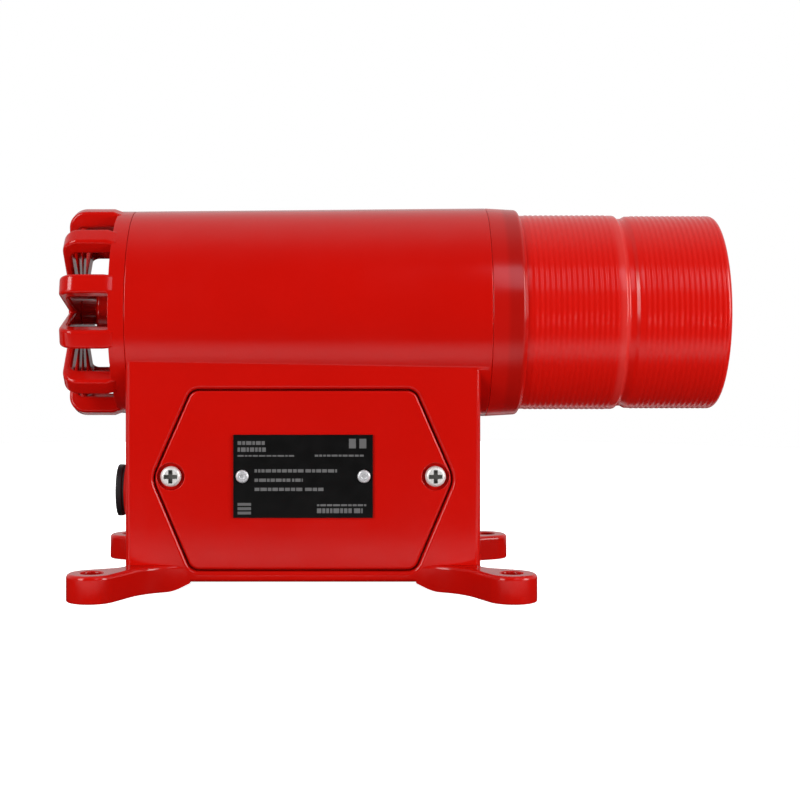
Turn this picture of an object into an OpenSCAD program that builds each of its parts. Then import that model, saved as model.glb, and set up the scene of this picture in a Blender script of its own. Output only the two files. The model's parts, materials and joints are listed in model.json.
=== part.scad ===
// Industrial horn strobe: a cast sounder and flashing beacon in one tube, on a terminal box with four feet.
// Origin: centre of the mounting-hole rectangle, on the mounting plane.
// +X points to the beacon lens, -Y to the terminal cover, +Z up. Millimetres.

/* [Tube] */
// Height of the horn and beacon axis above the mounting plane
axis_z = 129; // [127:0.5:132]
// Left end of the cast tube, at the horn mouth
tube_left = -82; // [-84:0.5:-81]
// Right end of the cast tube, at the beacon
tube_right = 87; // [86:0.5:90]
// Outer radius of the tube at the horn end
tube_r_left = 49; // [48.5:0.1:50]
// Outer radius of the tube at the beacon end
tube_r_right = 50.5; // [50:0.1:51]
// Radius of the bore that holds the horn
horn_bore_r = 43.5; // [43:0.1:44]
// Radius of the bore that holds the beacon electronics
beacon_bore_r = 45.5; // [45:0.1:46]
// Left face of the wall between the two bores
web_left = 26; // [24:0.5:28]
// Thickness of the wall between the two bores
web_t = 4; // [3:0.5:5]

/* [Terminal box] */
// Right wall of the terminal box
box_right = 81.8; // [80:0.1:84]
// Half depth of the terminal box, front to back
box_half_y = 43; // [42:0.5:44]
// Height of the underside of the box above the mounting plane
box_bottom = 4.4; // [3:0.1:5]
// Radius of the upright corners of the box
box_corner_r = 2.5; // [1:0.5:4]
// Thickness of the side walls of the box
box_wall = 12; // [10:0.5:13]
// Thickness of the front wall, behind which the terminals lie
front_wall = 9; // [8:0.5:10]
// Thickness of the back wall of the box
back_wall = 6; // [5:0.5:7]
// Height of the floor of the terminal space
floor_z = 11; // [10:0.5:12]
// Height of the ceiling of the terminal space
ceiling_z = 80.5; // [79:0.5:81]

/* [Feet] */
// Hole spacing along the unit
foot_pitch_x = 187; // [185:1:189]
// Hole spacing across the unit
foot_pitch_y = 132; // [130:1:134]
// Thickness of a foot
foot_t = 12.4; // [11:0.2:13]
// Radius of the round end of a foot
foot_tip_r = 11.4; // [11:0.1:12]
// Radius of a mounting hole
foot_hole_r = 5; // [4.5:0.1:5.5]
// Slope of the long edge of a foot, from the X axis
foot_long_angle = 64; // [62:1:66]
// Slope of the short edge of a foot, from the X axis
foot_short_angle = 24; // [22:1:26]
// Fillet between the long edge and the front or back of the box
foot_long_fillet = 28; // [25:1:30]
// Fillet between the short edge and the side of the box
foot_short_fillet = 9; // [8:0.5:10]
// Distance from the centre at which the underside of a foot starts to rise
foot_ramp_x = 60; // [58:1:62]

/* [Terminal cover] */
// Half width of the six-sided cover, at its side points
cover_half_x = 69; // [68:0.5:70]
// Height of the side points
cover_mid_z = 52; // [51:0.5:53]
// Height of the top edge
cover_top_z = 92.5; // [92:0.1:93]
// Height of the bottom edge
cover_bottom_z = 10.2; // [9.8:0.1:11]
// Half length of the top and bottom edges
cover_edge_half = 51.3; // [50:0.1:53]
// Thickness of the cover
cover_t = 5; // [4.5:0.1:5.4]
// Gap between the cover and its recess, all round
cover_gap = 0.8; // [0.5:0.1:1.2]
// Thickness of the cover gasket
gasket_t = 1; // [0.6:0.1:1.2]
// Distance of each cover screw from the centre line
cover_screw_x = 61; // [60.5:0.1:61.5]
// Height of the cover screws
cover_screw_z = 53; // [52:0.5:54]
// Radius of a cover screw's shank
cover_screw_r = 2.5; // [2.4:0.05:2.5]

/* [Nameplate] */
// Width of the nameplate
plate_w = 64.2; // [60:0.1:66]
// Height of the nameplate
plate_h = 38.2; // [36:0.1:40]
// Thickness of the nameplate
plate_t = 0.8; // [0.5:0.1:1]
// Height of the nameplate's centre
plate_z = 53.2; // [52:0.1:54]
// Distance of the rivets from the nameplate's centre
rivet_x = 28; // [27:0.1:28.5]

/* [Cable entry] */
// Height of the cable entry's centre
entry_z = 42.4; // [40:0.1:45]
// Radius of the entry boss where it meets the wall
entry_root_r = 19.5; // [18:0.5:20]
// Radius of the entry boss at its face
entry_face_r = 13; // [12.5:0.1:14]
// How far the entry boss stands out of the wall
entry_boss_h = 5; // [4:0.5:6]
// Radius of the entry bore
entry_r = 10; // [9.5:0.1:10.2]

/* [Horn] */
// Number of bars in the grille
bar_count = 12; // [12:2:12]
// Width of a grille bar
bar_w = 9; // [8:0.5:10]
// Radial depth of a grille bar along the tube
bar_depth = 8; // [7:0.5:8]
// Thickness of a grille bar across the mouth
bar_t = 4; // [3.5:0.5:5]
// Outer end of the grille
grille_left = -112.5; // [-114:0.5:-111]
// Length of the grille's base ring
ring_len = 7.3; // [7:0.1:8]
// Outside radius of the bars
bar_outer_r = 50.5; // [50:0.1:51]
// Radius of the shoulder where a bar turns inwards
bar_shoulder = 8; // [7:0.5:9]
// Radius of the disc in the middle of the grille
hub_r = 18; // [17:0.5:20]
// Radius of the horn's throat
throat_r = 11; // [10:0.5:12]
// Wall thickness of the horn
flare_t = 2; // [1.5:0.25:2.5]

/* [Beacon] */
// Right end of the lens
lens_right = 197.3; // [196:0.1:199]
// Outside radius of the lens flange
lens_flange_r = 50.5; // [50:0.1:50.6]
// Length of the lens flange
lens_flange_len = 14.6; // [14:0.1:15]
// Spacing of the rings on the lens
lens_pitch = 2.5; // [2:0.1:3]
// Depth of the rings on the lens
lens_tooth = 0.5; // [0.3:0.1:0.8]
// Inside radius of the lens
lens_inner_r = 43.5; // [43:0.1:44]
// Outside radius of the neck that the lens fits over
neck_r = 44.2; // [44:0.1:44.5]
// Distance between the two legs of the flash tube
tube_leg_gap = 20; // [18:1:24]
// Radius of the flash tube's glass
tube_glass_r = 3.5; // [3:0.25:4]

/* [Electronics] */
// Width of the control board
board_w = 92; // [88:1:96]
// Height of the control board
board_h = 56; // [54:1:58]
// Thickness of the circuit boards
board_t = 1.6; // [1.4:0.1:2]
// Number of cable terminals
terminal_count = 6; // [4:1:6]
// Spacing of the cable terminals
terminal_pitch = 9; // [8:0.5:9]
// Number of tone switches
tone_count = 4; // [4:1:4]
// Travel of a tone switch slider
tone_travel = 2; // [1.6:0.1:2.4]

/* [Hidden] */

$fn = 96;
small_fn = 48;

// Clearance between a turning part and its hole
fit_gap = 0.1;
// How far a cutting shape runs past the surface it opens
past = 1;

// Cover and its recess
cover_front = -box_half_y;
cover_back = cover_front + cover_t;
recess_floor = cover_back + gasket_t;
opening_inset = 11;
opening_half_x = 52;
gasket_outer_inset = 1.5;
cover_corner_r = 5;
cover_point_r = 10;
cover_corners = [
    [cover_half_x, cover_mid_z], [cover_edge_half, cover_top_z], [-cover_edge_half, cover_top_z],
    [-cover_half_x, cover_mid_z], [-cover_edge_half, cover_bottom_z], [cover_edge_half, cover_bottom_z]
];
cover_radii = [
    cover_point_r, cover_corner_r, cover_corner_r,
    cover_point_r, cover_corner_r, cover_corner_r
];
opening_radii = [3, 5, 5, 3, 5, 5];

// Cover screws
screw_hole_r = cover_screw_r + fit_gap;
screw_boss_r = 7;
screw_boss_end = -16;
screw_hole_end = -20;
screw_sink_r = 6.3;
screw_sink = 2.2;
screw_seat = cover_front + screw_sink;
screw_head_r = 4.75;
screw_head_h = 3.2;
screw_len = 17;

// Rivets
rivet_shank_r = 1.6;

// Terminal space
space_left = tube_left + box_wall;
space_right = box_right - box_wall;
space_front = -box_half_y + front_wall;
space_back = box_half_y - back_wall;
wire_hole_r = 4;
wire_hole_y = 15;
driver_wire_x = 18;
beacon_wire_x = 34.6;
wire_gap = 1.4;
wire_r = 0.9;

// Grille
ring_inner_r = 42.5;
ring_left = tube_left - ring_len;
grille_screw_ring_r = 46.2;
grille_screw_r = 1.5;
grille_screw_hole_r = grille_screw_r + fit_gap / 2;
grille_screw_head_r = 2.75;
grille_screw_len = 16;
grille_screw_count = 3;

// Horn and driver, as places along the axis
flare_left = tube_left;
throat_x = -24;
flare_flange_t = 3;
flare_flange_r = 30;
flare_steps = 14;
deflector_right = -84;
deflector_stem = -100;
deflector_r = 14;
driver_r = 33;
driver_gasket_t = 1;
frame_left = throat_x + flare_flange_t + driver_gasket_t;
frame_t = 8;
frame_pocket = 4.5;
frame_pocket_r = 25;
plate_left = frame_left + frame_t;
top_plate_t = 5;
magnet_t = 15;
yoke_t = 5;
pole_r = 12.5;
gap_r = 14.6;
coil_r = 13.3;
coil_t = 0.6;
diaphragm_x = plate_left - 2.4;
diaphragm_r = 24;
diaphragm_t = 0.4;
driver_screw_ring_r = 27.5;
driver_screw_r = 1.5;

// Beacon, as places along the axis
lens_gasket_t = 0.8;
lens_left = tube_right + lens_gasket_t;
lens_step = tube_right + lens_flange_len + 0.8;
first_ring_x = 105.5;
first_ring_count = 16;
groove_x = 150;
groove_len = 5.3;
groove_r = 45.5;
second_ring_x = 159.5;
second_ring_count = 14;
ring_r = 47.2;
ring_r_end = 46.8;
lens_end_t = 3.5;
lens_edge_r = 2.5;
lens_neck_bore_r = 46.5;
neck_left = 78;
neck_right = 101;
neck_inner_r = 40;
seal_left = 92;
seal_len = 7;
beacon_board_x = 60;
beacon_board_r = 42;
beacon_pillar_ring_r = 35;
tube_base_t = 20;
tube_leg_end = 140;
socket_x = beacon_board_x + board_t + tube_base_t;

// Control board
board_front = 20;
board_z = 47;
pillar_x = board_w / 2 - 5;
pillar_z = board_h / 2 - 5;
block_z = 27;
block_h = 14;
block_d = 12;
block_x = -34;
terminal_screw_r = 2.2;
tone_x = -30;
tone_z = 55;
tone_pitch = 2.54;
tone_body_d = 5;
tone_body_h = 9;
tone_slider_w = 1.3;
tone_slider_h = 1.6;
tone_gap = 0.15;
tone_end_gap = 0.2;
tone_pocket_h = tone_slider_h + tone_travel + 2 * tone_end_gap;
tone_pocket_w = tone_slider_w + 2 * tone_gap;
tone_pocket_d = 3;
volume_x = 0;
volume_z = 55;
volume_size = 10;
volume_d = 5;
volume_rotor_r = 3.4;
earth_x = 58;
earth_z = 26;

// Stopping plug
washer_t = 1;
entry_face = tube_left - entry_boss_h;
plug_flange_r = 12.5;
plug_flange_t = 3;
plug_thread_len = 14;
plug_key = 10;

// ---------- Helpers ----------

// Points along an arc, angles in degrees
function arc_points(centre, r, from, to, steps = 10) =
    [for (i = [0:steps])
        let (angle = from + (to - from) * i / steps)
        centre + r * [cos(angle), sin(angle)]];

function unit(v) = v / norm(v);

// Left-hand normal of the edge from a to b: it points into a counter-clockwise outline
function inward(a, b) = unit([a[1] - b[1], b[0] - a[0]]);

// A convex counter-clockwise outline moved inwards by d
function inset_outline(points, d) =
    let (n = len(points))
    [for (i = [0:n - 1])
        let (
            before = inward(points[(i + n - 1) % n], points[i]),
            after = inward(points[i], points[(i + 1) % n])
        )
        points[i] + d * (before + after) / (1 + before * after)];

// The rounded corner at p between a and b
function corner_points(a, p, b, r, steps = 6) =
    let (
        before = inward(a, p),
        after = inward(p, b),
        centre = p + r * (before + after) / (1 + before * after),
        from = atan2(-before[1], -before[0]),
        turn = acos(min(1, before * after))
    )
    arc_points(centre, r, from, from + turn, steps);

// A convex counter-clockwise outline with rounded corners
function rounded_outline(points, radii) =
    let (n = len(points))
    [for (i = [0:n - 1])
        each corner_points(points[(i + n - 1) % n], points[i], points[(i + 1) % n], radii[i])];

// Moves a shape built along +Z onto the horn axis, starting at x
module on_axis(x = 0) {
    translate([x, 0, axis_z]) rotate([0, 90, 0]) children();
}

// Turns a profile of [place along the axis, radius] points about the horn axis
module turned(profile) {
    on_axis() rotate_extrude() polygon([for (p = profile) [p[1], p[0]]]);
}

// Ring on the horn axis
module axis_ring(x, length, outer_r, inner_r) {
    on_axis(x) difference() {
        cylinder(h = length, r = outer_r);
        translate([0, 0, -past]) cylinder(h = length + 2 * past, r = inner_r);
    }
}

// Repeats a shape round the horn axis, the first one straight up
module round_axis(count, radius, start = 0) {
    for (i = [0:count - 1])
        rotate([0, 0, 180 + start + i * 360 / count]) translate([radius, 0, 0]) children();
}

// Moves a shape built along +Z to [x, y, z], pointing out of the front
module facing_front(x, y, z) {
    translate([x, y, z]) rotate([90, 0, 0]) children();
}

// Slab of an [x, z] outline, from y_back forwards by t
module front_slab(outline, y_back, t) {
    translate([0, y_back, 0]) rotate([90, 0, 0]) linear_extrude(t) polygon(outline);
}

// Block with rounded upright edges
module rounded_block(low, high, r) {
    size = high - low;
    translate(low) {
        translate([r, 0, 0]) cube([size[0] - 2 * r, size[1], size[2]]);
        translate([0, r, 0]) cube([size[0], size[1] - 2 * r, size[2]]);
        for (x = [r, size[0] - r], y = [r, size[1] - r])
            translate([x, y, 0]) cylinder(h = size[2], r = r, $fn = small_fn);
    }
}

// Straight round rod between two points
module rod(a, b, r) {
    v = b - a;
    length = norm(v);
    translate(a)
        rotate([0, acos(v[2] / length), atan2(v[1], v[0])])
            cylinder(h = length, r = r, $fn = 24);
}

// Wire through a list of points, with a slightly fatter ball at each bend
module wire(points, r) {
    for (i = [0:len(points) - 2]) rod(points[i], points[i + 1], r);
    for (i = [1:len(points) - 2]) translate(points[i]) sphere(r = r * 1.08, $fn = 24);
}

// Pan-head screw along -Z, its seat at z = 0, with a cross recess
module pan_screw(r, length, head_r, head_h) {
    recess_w = head_r * 0.26;
    recess_l = head_r * 1.1;
    difference() {
        union() {
            translate([0, 0, -length]) cylinder(h = length + 0.5, r = r, $fn = small_fn);
            rotate_extrude($fn = small_fn) polygon(concat(
                [[0, 0], [head_r, 0]],
                arc_points([head_r - head_h * 0.55, head_h * 0.4], head_h * 0.55, 0, 90, 6),
                [[0, head_h]]
            ));
        }
        for (turn = [0, 90])
            rotate([0, 0, turn])
                translate([-recess_l / 2, -recess_w / 2, head_h * 0.45])
                    cube([recess_l, recess_w, head_h]);
    }
}

// ---------- Housing ----------

// Plan of one foot, in the +X +Y quarter
function foot_outline() =
    let (
        tip = [foot_pitch_x, foot_pitch_y] / 2,
        long_n = [sin(foot_long_angle), -cos(foot_long_angle)],
        short_n = [sin(foot_short_angle), -cos(foot_short_angle)],
        long_y = box_half_y + foot_long_fillet,
        long_x = (long_n * tip - foot_tip_r - foot_long_fillet - long_n[1] * long_y) / long_n[0],
        short_x = box_right + foot_short_fillet,
        short_y = (short_n * tip + foot_tip_r + foot_short_fillet - short_n[0] * short_x) / short_n[1],
        root = 8
    )
    concat(
        arc_points([long_x, long_y], foot_long_fillet, -90, foot_long_angle - 90),
        arc_points(tip, foot_tip_r, foot_long_angle + 90, foot_short_angle - 90, 24),
        arc_points([short_x, short_y], foot_short_fillet, foot_short_angle + 90, 180, 6),
        [[box_right - root, short_y], [box_right - root, box_half_y - root], [long_x, box_half_y - root]]
    );

module foot() {
    ramp_slope = 0.49;
    ramp_end = foot_ramp_x - 24;
    difference() {
        linear_extrude(foot_t) polygon(foot_outline());
        translate([foot_pitch_x / 2, foot_pitch_y / 2, -past])
            cylinder(h = foot_t + 2 * past, r = foot_hole_r, $fn = small_fn);
        front_slab([
            [foot_ramp_x + past / ramp_slope, -past],
            [ramp_end, -past],
            [ramp_end, (foot_ramp_x - ramp_end) * ramp_slope]
        ], foot_pitch_y, foot_pitch_y);
    }
}

module four_corners() {
    for (mx = [0, 1], my = [0, 1])
        mirror([mx, 0, 0]) mirror([0, my, 0]) children();
}

module terminal_space() {
    difference() {
        translate([space_left, space_front, floor_z])
            cube([space_right - space_left, space_back - space_front, ceiling_z - floor_z]);
        for (x = [-cover_screw_x, cover_screw_x])
            facing_front(x, screw_boss_end, cover_screw_z)
                cylinder(h = screw_boss_end - space_front + past, r = screw_boss_r, $fn = small_fn);
    }
}

module cover_opening(y_back, t) {
    intersection() {
        front_slab(rounded_outline(inset_outline(cover_corners, opening_inset), opening_radii), y_back, t);
        translate([-opening_half_x, y_back - t - past, 0]) cube([2 * opening_half_x, t + 2 * past, axis_z]);
    }
}

module housing() {
    color("red") difference() {
        union() {
            on_axis(tube_left) cylinder(h = tube_right - tube_left, r1 = tube_r_left, r2 = tube_r_right);
            rounded_block(
                [tube_left, -box_half_y, box_bottom], [box_right, box_half_y, axis_z], box_corner_r
            );
            four_corners() foot();
            translate([entry_face, 0, entry_z]) rotate([0, 90, 0])
                cylinder(h = entry_boss_h, r1 = entry_face_r, r2 = entry_root_r);
        }
        on_axis(tube_left - past) cylinder(h = web_left - tube_left + past, r = horn_bore_r);
        on_axis(web_left + web_t) cylinder(h = tube_right, r = beacon_bore_r);
        terminal_space();
        front_slab(
            rounded_outline(inset_outline(cover_corners, -cover_gap), cover_radii), recess_floor, front_wall
        );
        cover_opening(space_front + past, front_wall);
        translate([entry_face - past, 0, entry_z]) rotate([0, 90, 0])
            cylinder(h = entry_boss_h + box_wall + 2 * past, r = entry_r);
        for (x = [-cover_screw_x, cover_screw_x])
            facing_front(x, screw_hole_end, cover_screw_z)
                cylinder(h = box_half_y, r = screw_hole_r, $fn = small_fn);
        for (x = [driver_wire_x, beacon_wire_x])
            translate([x, wire_hole_y, ceiling_z - past])
                cylinder(h = 14, r = wire_hole_r, $fn = small_fn);
        on_axis(tube_left - past)
            round_axis(grille_screw_count, grille_screw_ring_r)
                cylinder(h = grille_screw_len - ring_len + 2 * past, r = grille_screw_hole_r, $fn = small_fn);
    }
}

// ---------- Horn ----------

// Side view of one grille bar: [radius, place from the outer end]
function bar_profile() =
    let (
        ring_face = ring_left - grille_left,
        bend = bar_outer_r - bar_shoulder
    )
    concat(
        [[hub_r - 2, 0]],
        arc_points([bend, bar_shoulder], bar_shoulder, -90, 0, 8),
        [[bar_outer_r, ring_face - 2], [tube_r_left, ring_face + 2]],
        [[bar_outer_r - bar_depth, ring_face + 2]],
        arc_points([bar_outer_r - bar_depth - 3, bar_t + 3], 3, 0, -90, 4),
        [[hub_r - 2, bar_t]]
    );

module horn_grille() {
    color("red") difference() {
        union() {
            on_axis(ring_left) cylinder(h = ring_len, r = tube_r_left);
            on_axis(grille_left) cylinder(h = bar_t, r = hub_r);
            on_axis(grille_left)
                for (i = [0:bar_count - 1])
                    rotate([0, 0, (i + 0.5) * 360 / bar_count])
                        rotate([90, 0, 0])
                            linear_extrude(bar_w, center = true) polygon(bar_profile());
        }
        on_axis(ring_left - past) cylinder(h = ring_len + 2 * past, r = ring_inner_r);
        on_axis(ring_left - past)
            round_axis(grille_screw_count, grille_screw_ring_r) {
                cylinder(h = ring_len + 2 * past, r = grille_screw_hole_r, $fn = small_fn);
                cylinder(h = past + 3, r = grille_screw_head_r + fit_gap, $fn = small_fn);
            }
        on_axis(grille_left - past) cylinder(h = bar_t + 2 * past, r = 2.1, $fn = small_fn);
        on_axis(grille_left - past) cylinder(h = past + 2, r = 4.1, $fn = small_fn);
    }
}

// Socket-head screws that hold the grille to the tube
module grille_screws() {
    color("silver") on_axis(ring_left)
        round_axis(grille_screw_count, grille_screw_ring_r) difference() {
            union() {
                translate([0, 0, 0.3]) cylinder(h = 2.6, r = grille_screw_head_r, $fn = small_fn);
                cylinder(h = grille_screw_len, r = grille_screw_r, $fn = small_fn);
            }
            translate([0, 0, -past]) cylinder(h = past + 1.8, r = 1.45, $fn = 6);
        }
}

// Radius of the horn's inner surface, from the throat (0) to the mouth (1)
function flare_radius(s) = throat_r * pow((ring_inner_r - 1.5) / throat_r, pow(s, 0.85));

module horn_flare() {
    mouth = flare_left + 3;
    length = throat_x - mouth;
    rim_r = horn_bore_r - 0.1;
    color("dimgray") difference() {
        turned(concat(
            [for (i = [0:flare_steps]) [throat_x - length * i / flare_steps, flare_radius(i / flare_steps)]],
            [[flare_left, ring_inner_r - 1.5], [flare_left, rim_r], [mouth, rim_r]],
            [for (i = [flare_steps - 1:-1:2])
                [throat_x - length * i / flare_steps, flare_radius(i / flare_steps) + flare_t]],
            [[throat_x - 1, throat_r + 4], [throat_x, throat_r + 8], [throat_x, flare_flange_r]],
            [[throat_x + flare_flange_t, flare_flange_r], [throat_x + flare_flange_t, throat_r]]
        ));
        driver_screw_holes(throat_x - past, flare_flange_t + 2 * past);
    }
}

// Bullet that spreads the sound, on a stem from the grille's hub
module horn_deflector() {
    nose = deflector_right - 6;
    color("red") difference() {
        turned(concat(
            [[grille_left + bar_t, 0], [grille_left + bar_t, 6], [deflector_stem - 1, 6]],
            [[deflector_stem, deflector_r - 1], [deflector_stem + 1, deflector_r]],
            [for (i = [0:6]) [nose + 6 * sin(i * 15), deflector_r * cos(i * 15)]]
        ));
        on_axis(grille_left) cylinder(h = bar_t + 8, r = 2, $fn = small_fn);
    }
}

module deflector_screw() {
    color("silver") on_axis(grille_left) difference() {
        union() {
            translate([0, 0, 0.1]) cylinder(h = 1.9, r = 4, $fn = small_fn);
            cylinder(h = bar_t + 7.5, r = 2, $fn = small_fn);
        }
        translate([0, 0, -past]) cylinder(h = past + 1.2, r = 1.7, $fn = 6);
    }
}

module driver_screw_holes(x, length) {
    on_axis(x) round_axis(3, driver_screw_ring_r) cylinder(h = length, r = driver_screw_r, $fn = small_fn);
}

module driver_gasket() {
    color("black") difference() {
        axis_ring(throat_x + flare_flange_t, driver_gasket_t, flare_flange_r, throat_r + 2);
        driver_screw_holes(throat_x, 10);
    }
}

module driver_frame() {
    color("darkgray") difference() {
        axis_ring(frame_left, frame_t, driver_r, throat_r);
        on_axis(plate_left - frame_pocket) cylinder(h = frame_pocket + past, r = frame_pocket_r);
        driver_screw_holes(frame_left - past, past + 6);
    }
}

module driver_top_plate() {
    color("silver") axis_ring(plate_left, top_plate_t, driver_r, gap_r);
}

module driver_magnet() {
    color("dimgray") axis_ring(plate_left + top_plate_t, magnet_t, driver_r - 1, pole_r + 6);
}

module driver_yoke() {
    back = plate_left + top_plate_t + magnet_t;
    color("silver") {
        on_axis(back) cylinder(h = yoke_t, r = driver_r);
        on_axis(plate_left) cylinder(h = back - plate_left, r = pole_r);
    }
}

module driver_screws() {
    color("silver") on_axis(throat_x)
        round_axis(3, driver_screw_ring_r) {
            translate([0, 0, -2]) cylinder(h = 2, r = 2.2, $fn = small_fn);
            cylinder(h = 9.5, r = driver_screw_r, $fn = small_fn);
        }
}

module diaphragm() {
    dome_r = coil_r;
    rise = 2.6;
    color("gainsboro") turned(concat(
        [[diaphragm_x, diaphragm_r], [diaphragm_x - diaphragm_t, diaphragm_r]],
        [for (i = [0:6]) [diaphragm_x - diaphragm_t - rise * sin(i * 15) * 0.6, dome_r * cos(i * 15)]],
        [for (i = [6:-1:0]) [diaphragm_x - rise * sin(i * 15) * 0.6, (dome_r - diaphragm_t) * cos(i * 15)]]
    ));
}

module voice_coil() {
    color("peru") axis_ring(diaphragm_x, 8.5, coil_r + coil_t, coil_r);
}

// ---------- Beacon ----------

// Threaded neck that carries the lens
module beacon_base() {
    color("dimgray") union() {
        axis_ring(neck_left, tube_right - neck_left, beacon_bore_r, neck_inner_r);
        axis_ring(neck_left, neck_right - neck_left, neck_r, neck_inner_r);
    }
}

module lens_seal() {
    color("black") axis_ring(seal_left, seal_len, lens_neck_bore_r - 0.3, neck_r);
}

module lens_gasket() {
    color("black") axis_ring(tube_right, lens_gasket_t, lens_flange_r - 0.6, lens_neck_bore_r);
}

// Sawtooth rings of a Fresnel lens
function ring_points(x, count, r) =
    [for (i = [0:count - 1], half = [0, 1]) [x + (i + half / 2) * lens_pitch, r - lens_tooth * (1 - half)]];

module beacon_lens() {
    flange_end = tube_right + lens_flange_len + 0.8;
    groove_end = groove_x + groove_len;
    color("crimson", 0.7) turned(concat(
        [[lens_left, lens_neck_bore_r], [lens_left, lens_flange_r - 0.4], [lens_left + 0.4, lens_flange_r]],
        [for (i = [0:3]) [flange_end - 1.5 + 1.5 * sin(i * 30), lens_flange_r - 1.5 + 1.5 * cos(i * 30)]],
        [[flange_end + 0.6, lens_flange_r - 2], [first_ring_x - 0.1, ring_r + 0.3]],
        ring_points(first_ring_x, first_ring_count, ring_r),
        [[groove_x - 4, ring_r], [groove_x - 1.5, ring_r - 0.5], [groove_x, groove_r]],
        [[groove_end, groove_r], [second_ring_x - 1, ring_r_end]],
        ring_points(second_ring_x, second_ring_count, ring_r_end),
        [for (i = [0:4])
            [lens_right - lens_edge_r + lens_edge_r * sin(i * 22.5),
            ring_r_end - 0.3 - lens_edge_r + lens_edge_r * cos(i * 22.5)]],
        [[lens_right, 0], [lens_right - lens_end_t, 0], [lens_right - lens_end_t, lens_inner_r]],
        [[lens_step + 1.5, lens_inner_r], [lens_step, lens_neck_bore_r]]
    ));
}

// White dish behind the flash tube, its rim on the end of the neck
module reflector() {
    rim = neck_right;
    dish_r = neck_inner_r - 0.1;
    floor_r = 24;
    depth = 12;
    sheet = 1.5;
    color("white") difference() {
        turned([
            [rim + 1, neck_r - 1], [rim, neck_r - 1], [rim, dish_r], [rim - sheet, dish_r],
            [rim - depth, floor_r], [rim - depth, 0],
            [rim - depth + sheet, 0], [rim - depth + sheet, floor_r - 0.5], [rim + 1, dish_r - 1]
        ]);
        for (y = [-tube_leg_gap / 2, tube_leg_gap / 2])
            on_axis(rim - depth - past) translate([0, y, 0])
                cylinder(h = 5, r = tube_glass_r + 0.6, $fn = small_fn);
    }
}

module tube_base() {
    color("ivory") difference() {
        on_axis(beacon_board_x + board_t) cylinder(h = tube_base_t, r = 18);
        for (y = [-tube_leg_gap / 2, tube_leg_gap / 2])
            on_axis(socket_x - 8)
                translate([0, y, 0]) cylinder(h = 9, r = tube_glass_r + fit_gap / 2, $fn = small_fn);
    }
}

// U-shaped xenon tube
module flash_tube() {
    color("lightcyan") {
        for (y = [-tube_leg_gap / 2, tube_leg_gap / 2])
            on_axis(socket_x - 8) translate([0, y, 0])
                cylinder(h = tube_leg_end - socket_x + 8, r = tube_glass_r, $fn = small_fn);
        translate([tube_leg_end, 0, axis_z]) rotate([0, 0, -90])
            rotate_extrude(angle = 180)
                translate([tube_leg_gap / 2, 0]) circle(r = tube_glass_r, $fn = small_fn);
    }
}

module beacon_board() {
    color("darkgreen") difference() {
        on_axis(beacon_board_x) cylinder(h = board_t, r = beacon_board_r);
        on_axis(beacon_board_x - past)
            round_axis(3, beacon_pillar_ring_r) cylinder(h = board_t + 2 * past, r = 1.6, $fn = small_fn);
    }
}

module beacon_pillars() {
    start = web_left + web_t;
    color("goldenrod") on_axis(start)
        round_axis(3, beacon_pillar_ring_r) difference() {
            cylinder(h = beacon_board_x - start, r = 3.2, $fn = 6);
            translate([0, 0, beacon_board_x - start - 8]) cylinder(h = 9, r = 1.5, $fn = small_fn);
        }
}

module beacon_screws() {
    color("silver") on_axis(beacon_board_x + board_t)
        round_axis(3, beacon_pillar_ring_r) pan_screw(1.5, 7, 2.8, 2);
}

module storage_capacitor() {
    color("navy") on_axis(beacon_board_x - 26) translate([14, -14, 0]) cylinder(h = 26, r = 9);
}

module trigger_transformer() {
    size = [14, 16, 18];
    color("gold") translate([beacon_board_x - size[0], 6, axis_z - 22]) cube(size);
}

// ---------- Terminal space ----------

module control_board() {
    color("darkgreen") difference() {
        translate([-board_w / 2, board_front, board_z - board_h / 2]) cube([board_w, board_t, board_h]);
        at_pillars(board_front + board_t + past) cylinder(h = board_t + 2 * past, r = 1.6, $fn = small_fn);
    }
}

// Places a shape at each corner of the control board, pointing forwards from y
module at_pillars(y) {
    for (x = [-pillar_x, pillar_x], z = [board_z - pillar_z, board_z + pillar_z])
        facing_front(x, y, z) children();
}

module board_pillars() {
    length = space_back - board_front - board_t;
    color("goldenrod") at_pillars(space_back) difference() {
        cylinder(h = length, r = 3.2, $fn = 6);
        translate([0, 0, length - 8]) cylinder(h = 9, r = 1.5, $fn = small_fn);
    }
}

module board_screws() {
    color("silver") at_pillars(board_front) pan_screw(1.5, 7, 2.8, 2);
}

module terminal_block() {
    width = terminal_count * terminal_pitch;
    color("seagreen") difference() {
        translate([block_x, board_front - block_d, block_z - block_h / 2]) cube([width, block_d, block_h]);
        for (i = [0:terminal_count - 1])
            translate([block_x + (i + 0.5) * terminal_pitch, board_front - block_d / 2, block_z]) {
                translate([0, 0, -block_h / 2 - past]) cylinder(h = 7, r = 2.6, $fn = small_fn);
                rotate([90, 0, 0]) cylinder(h = block_d, r = terminal_screw_r, $fn = small_fn);
            }
    }
}

module terminal_screws() {
    color("silver") for (i = [0:terminal_count - 1])
        facing_front(block_x + (i + 0.5) * terminal_pitch, board_front - block_d / 2, block_z) difference() {
            cylinder(h = 5, r = terminal_screw_r, $fn = small_fn);
            translate([-3, -0.4, 4]) cube([6, 0.8, 2]);
        }
}

// Left edge of the tone switch's pocket number i, from 1
function tone_pocket_x(i) = tone_x + 1 + (i - 1) * tone_pitch;

module tone_switch_body() {
    color("firebrick") difference() {
        translate([tone_x, board_front - tone_body_d, tone_z - tone_body_h / 2])
            cube([tone_count * tone_pitch + 1.2, tone_body_d, tone_body_h]);
        for (i = [1:tone_count])
            translate([tone_pocket_x(i), board_front - tone_body_d - past, tone_z - tone_pocket_h / 2])
                cube([tone_pocket_w, tone_pocket_d + past, tone_pocket_h]);
    }
}

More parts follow.
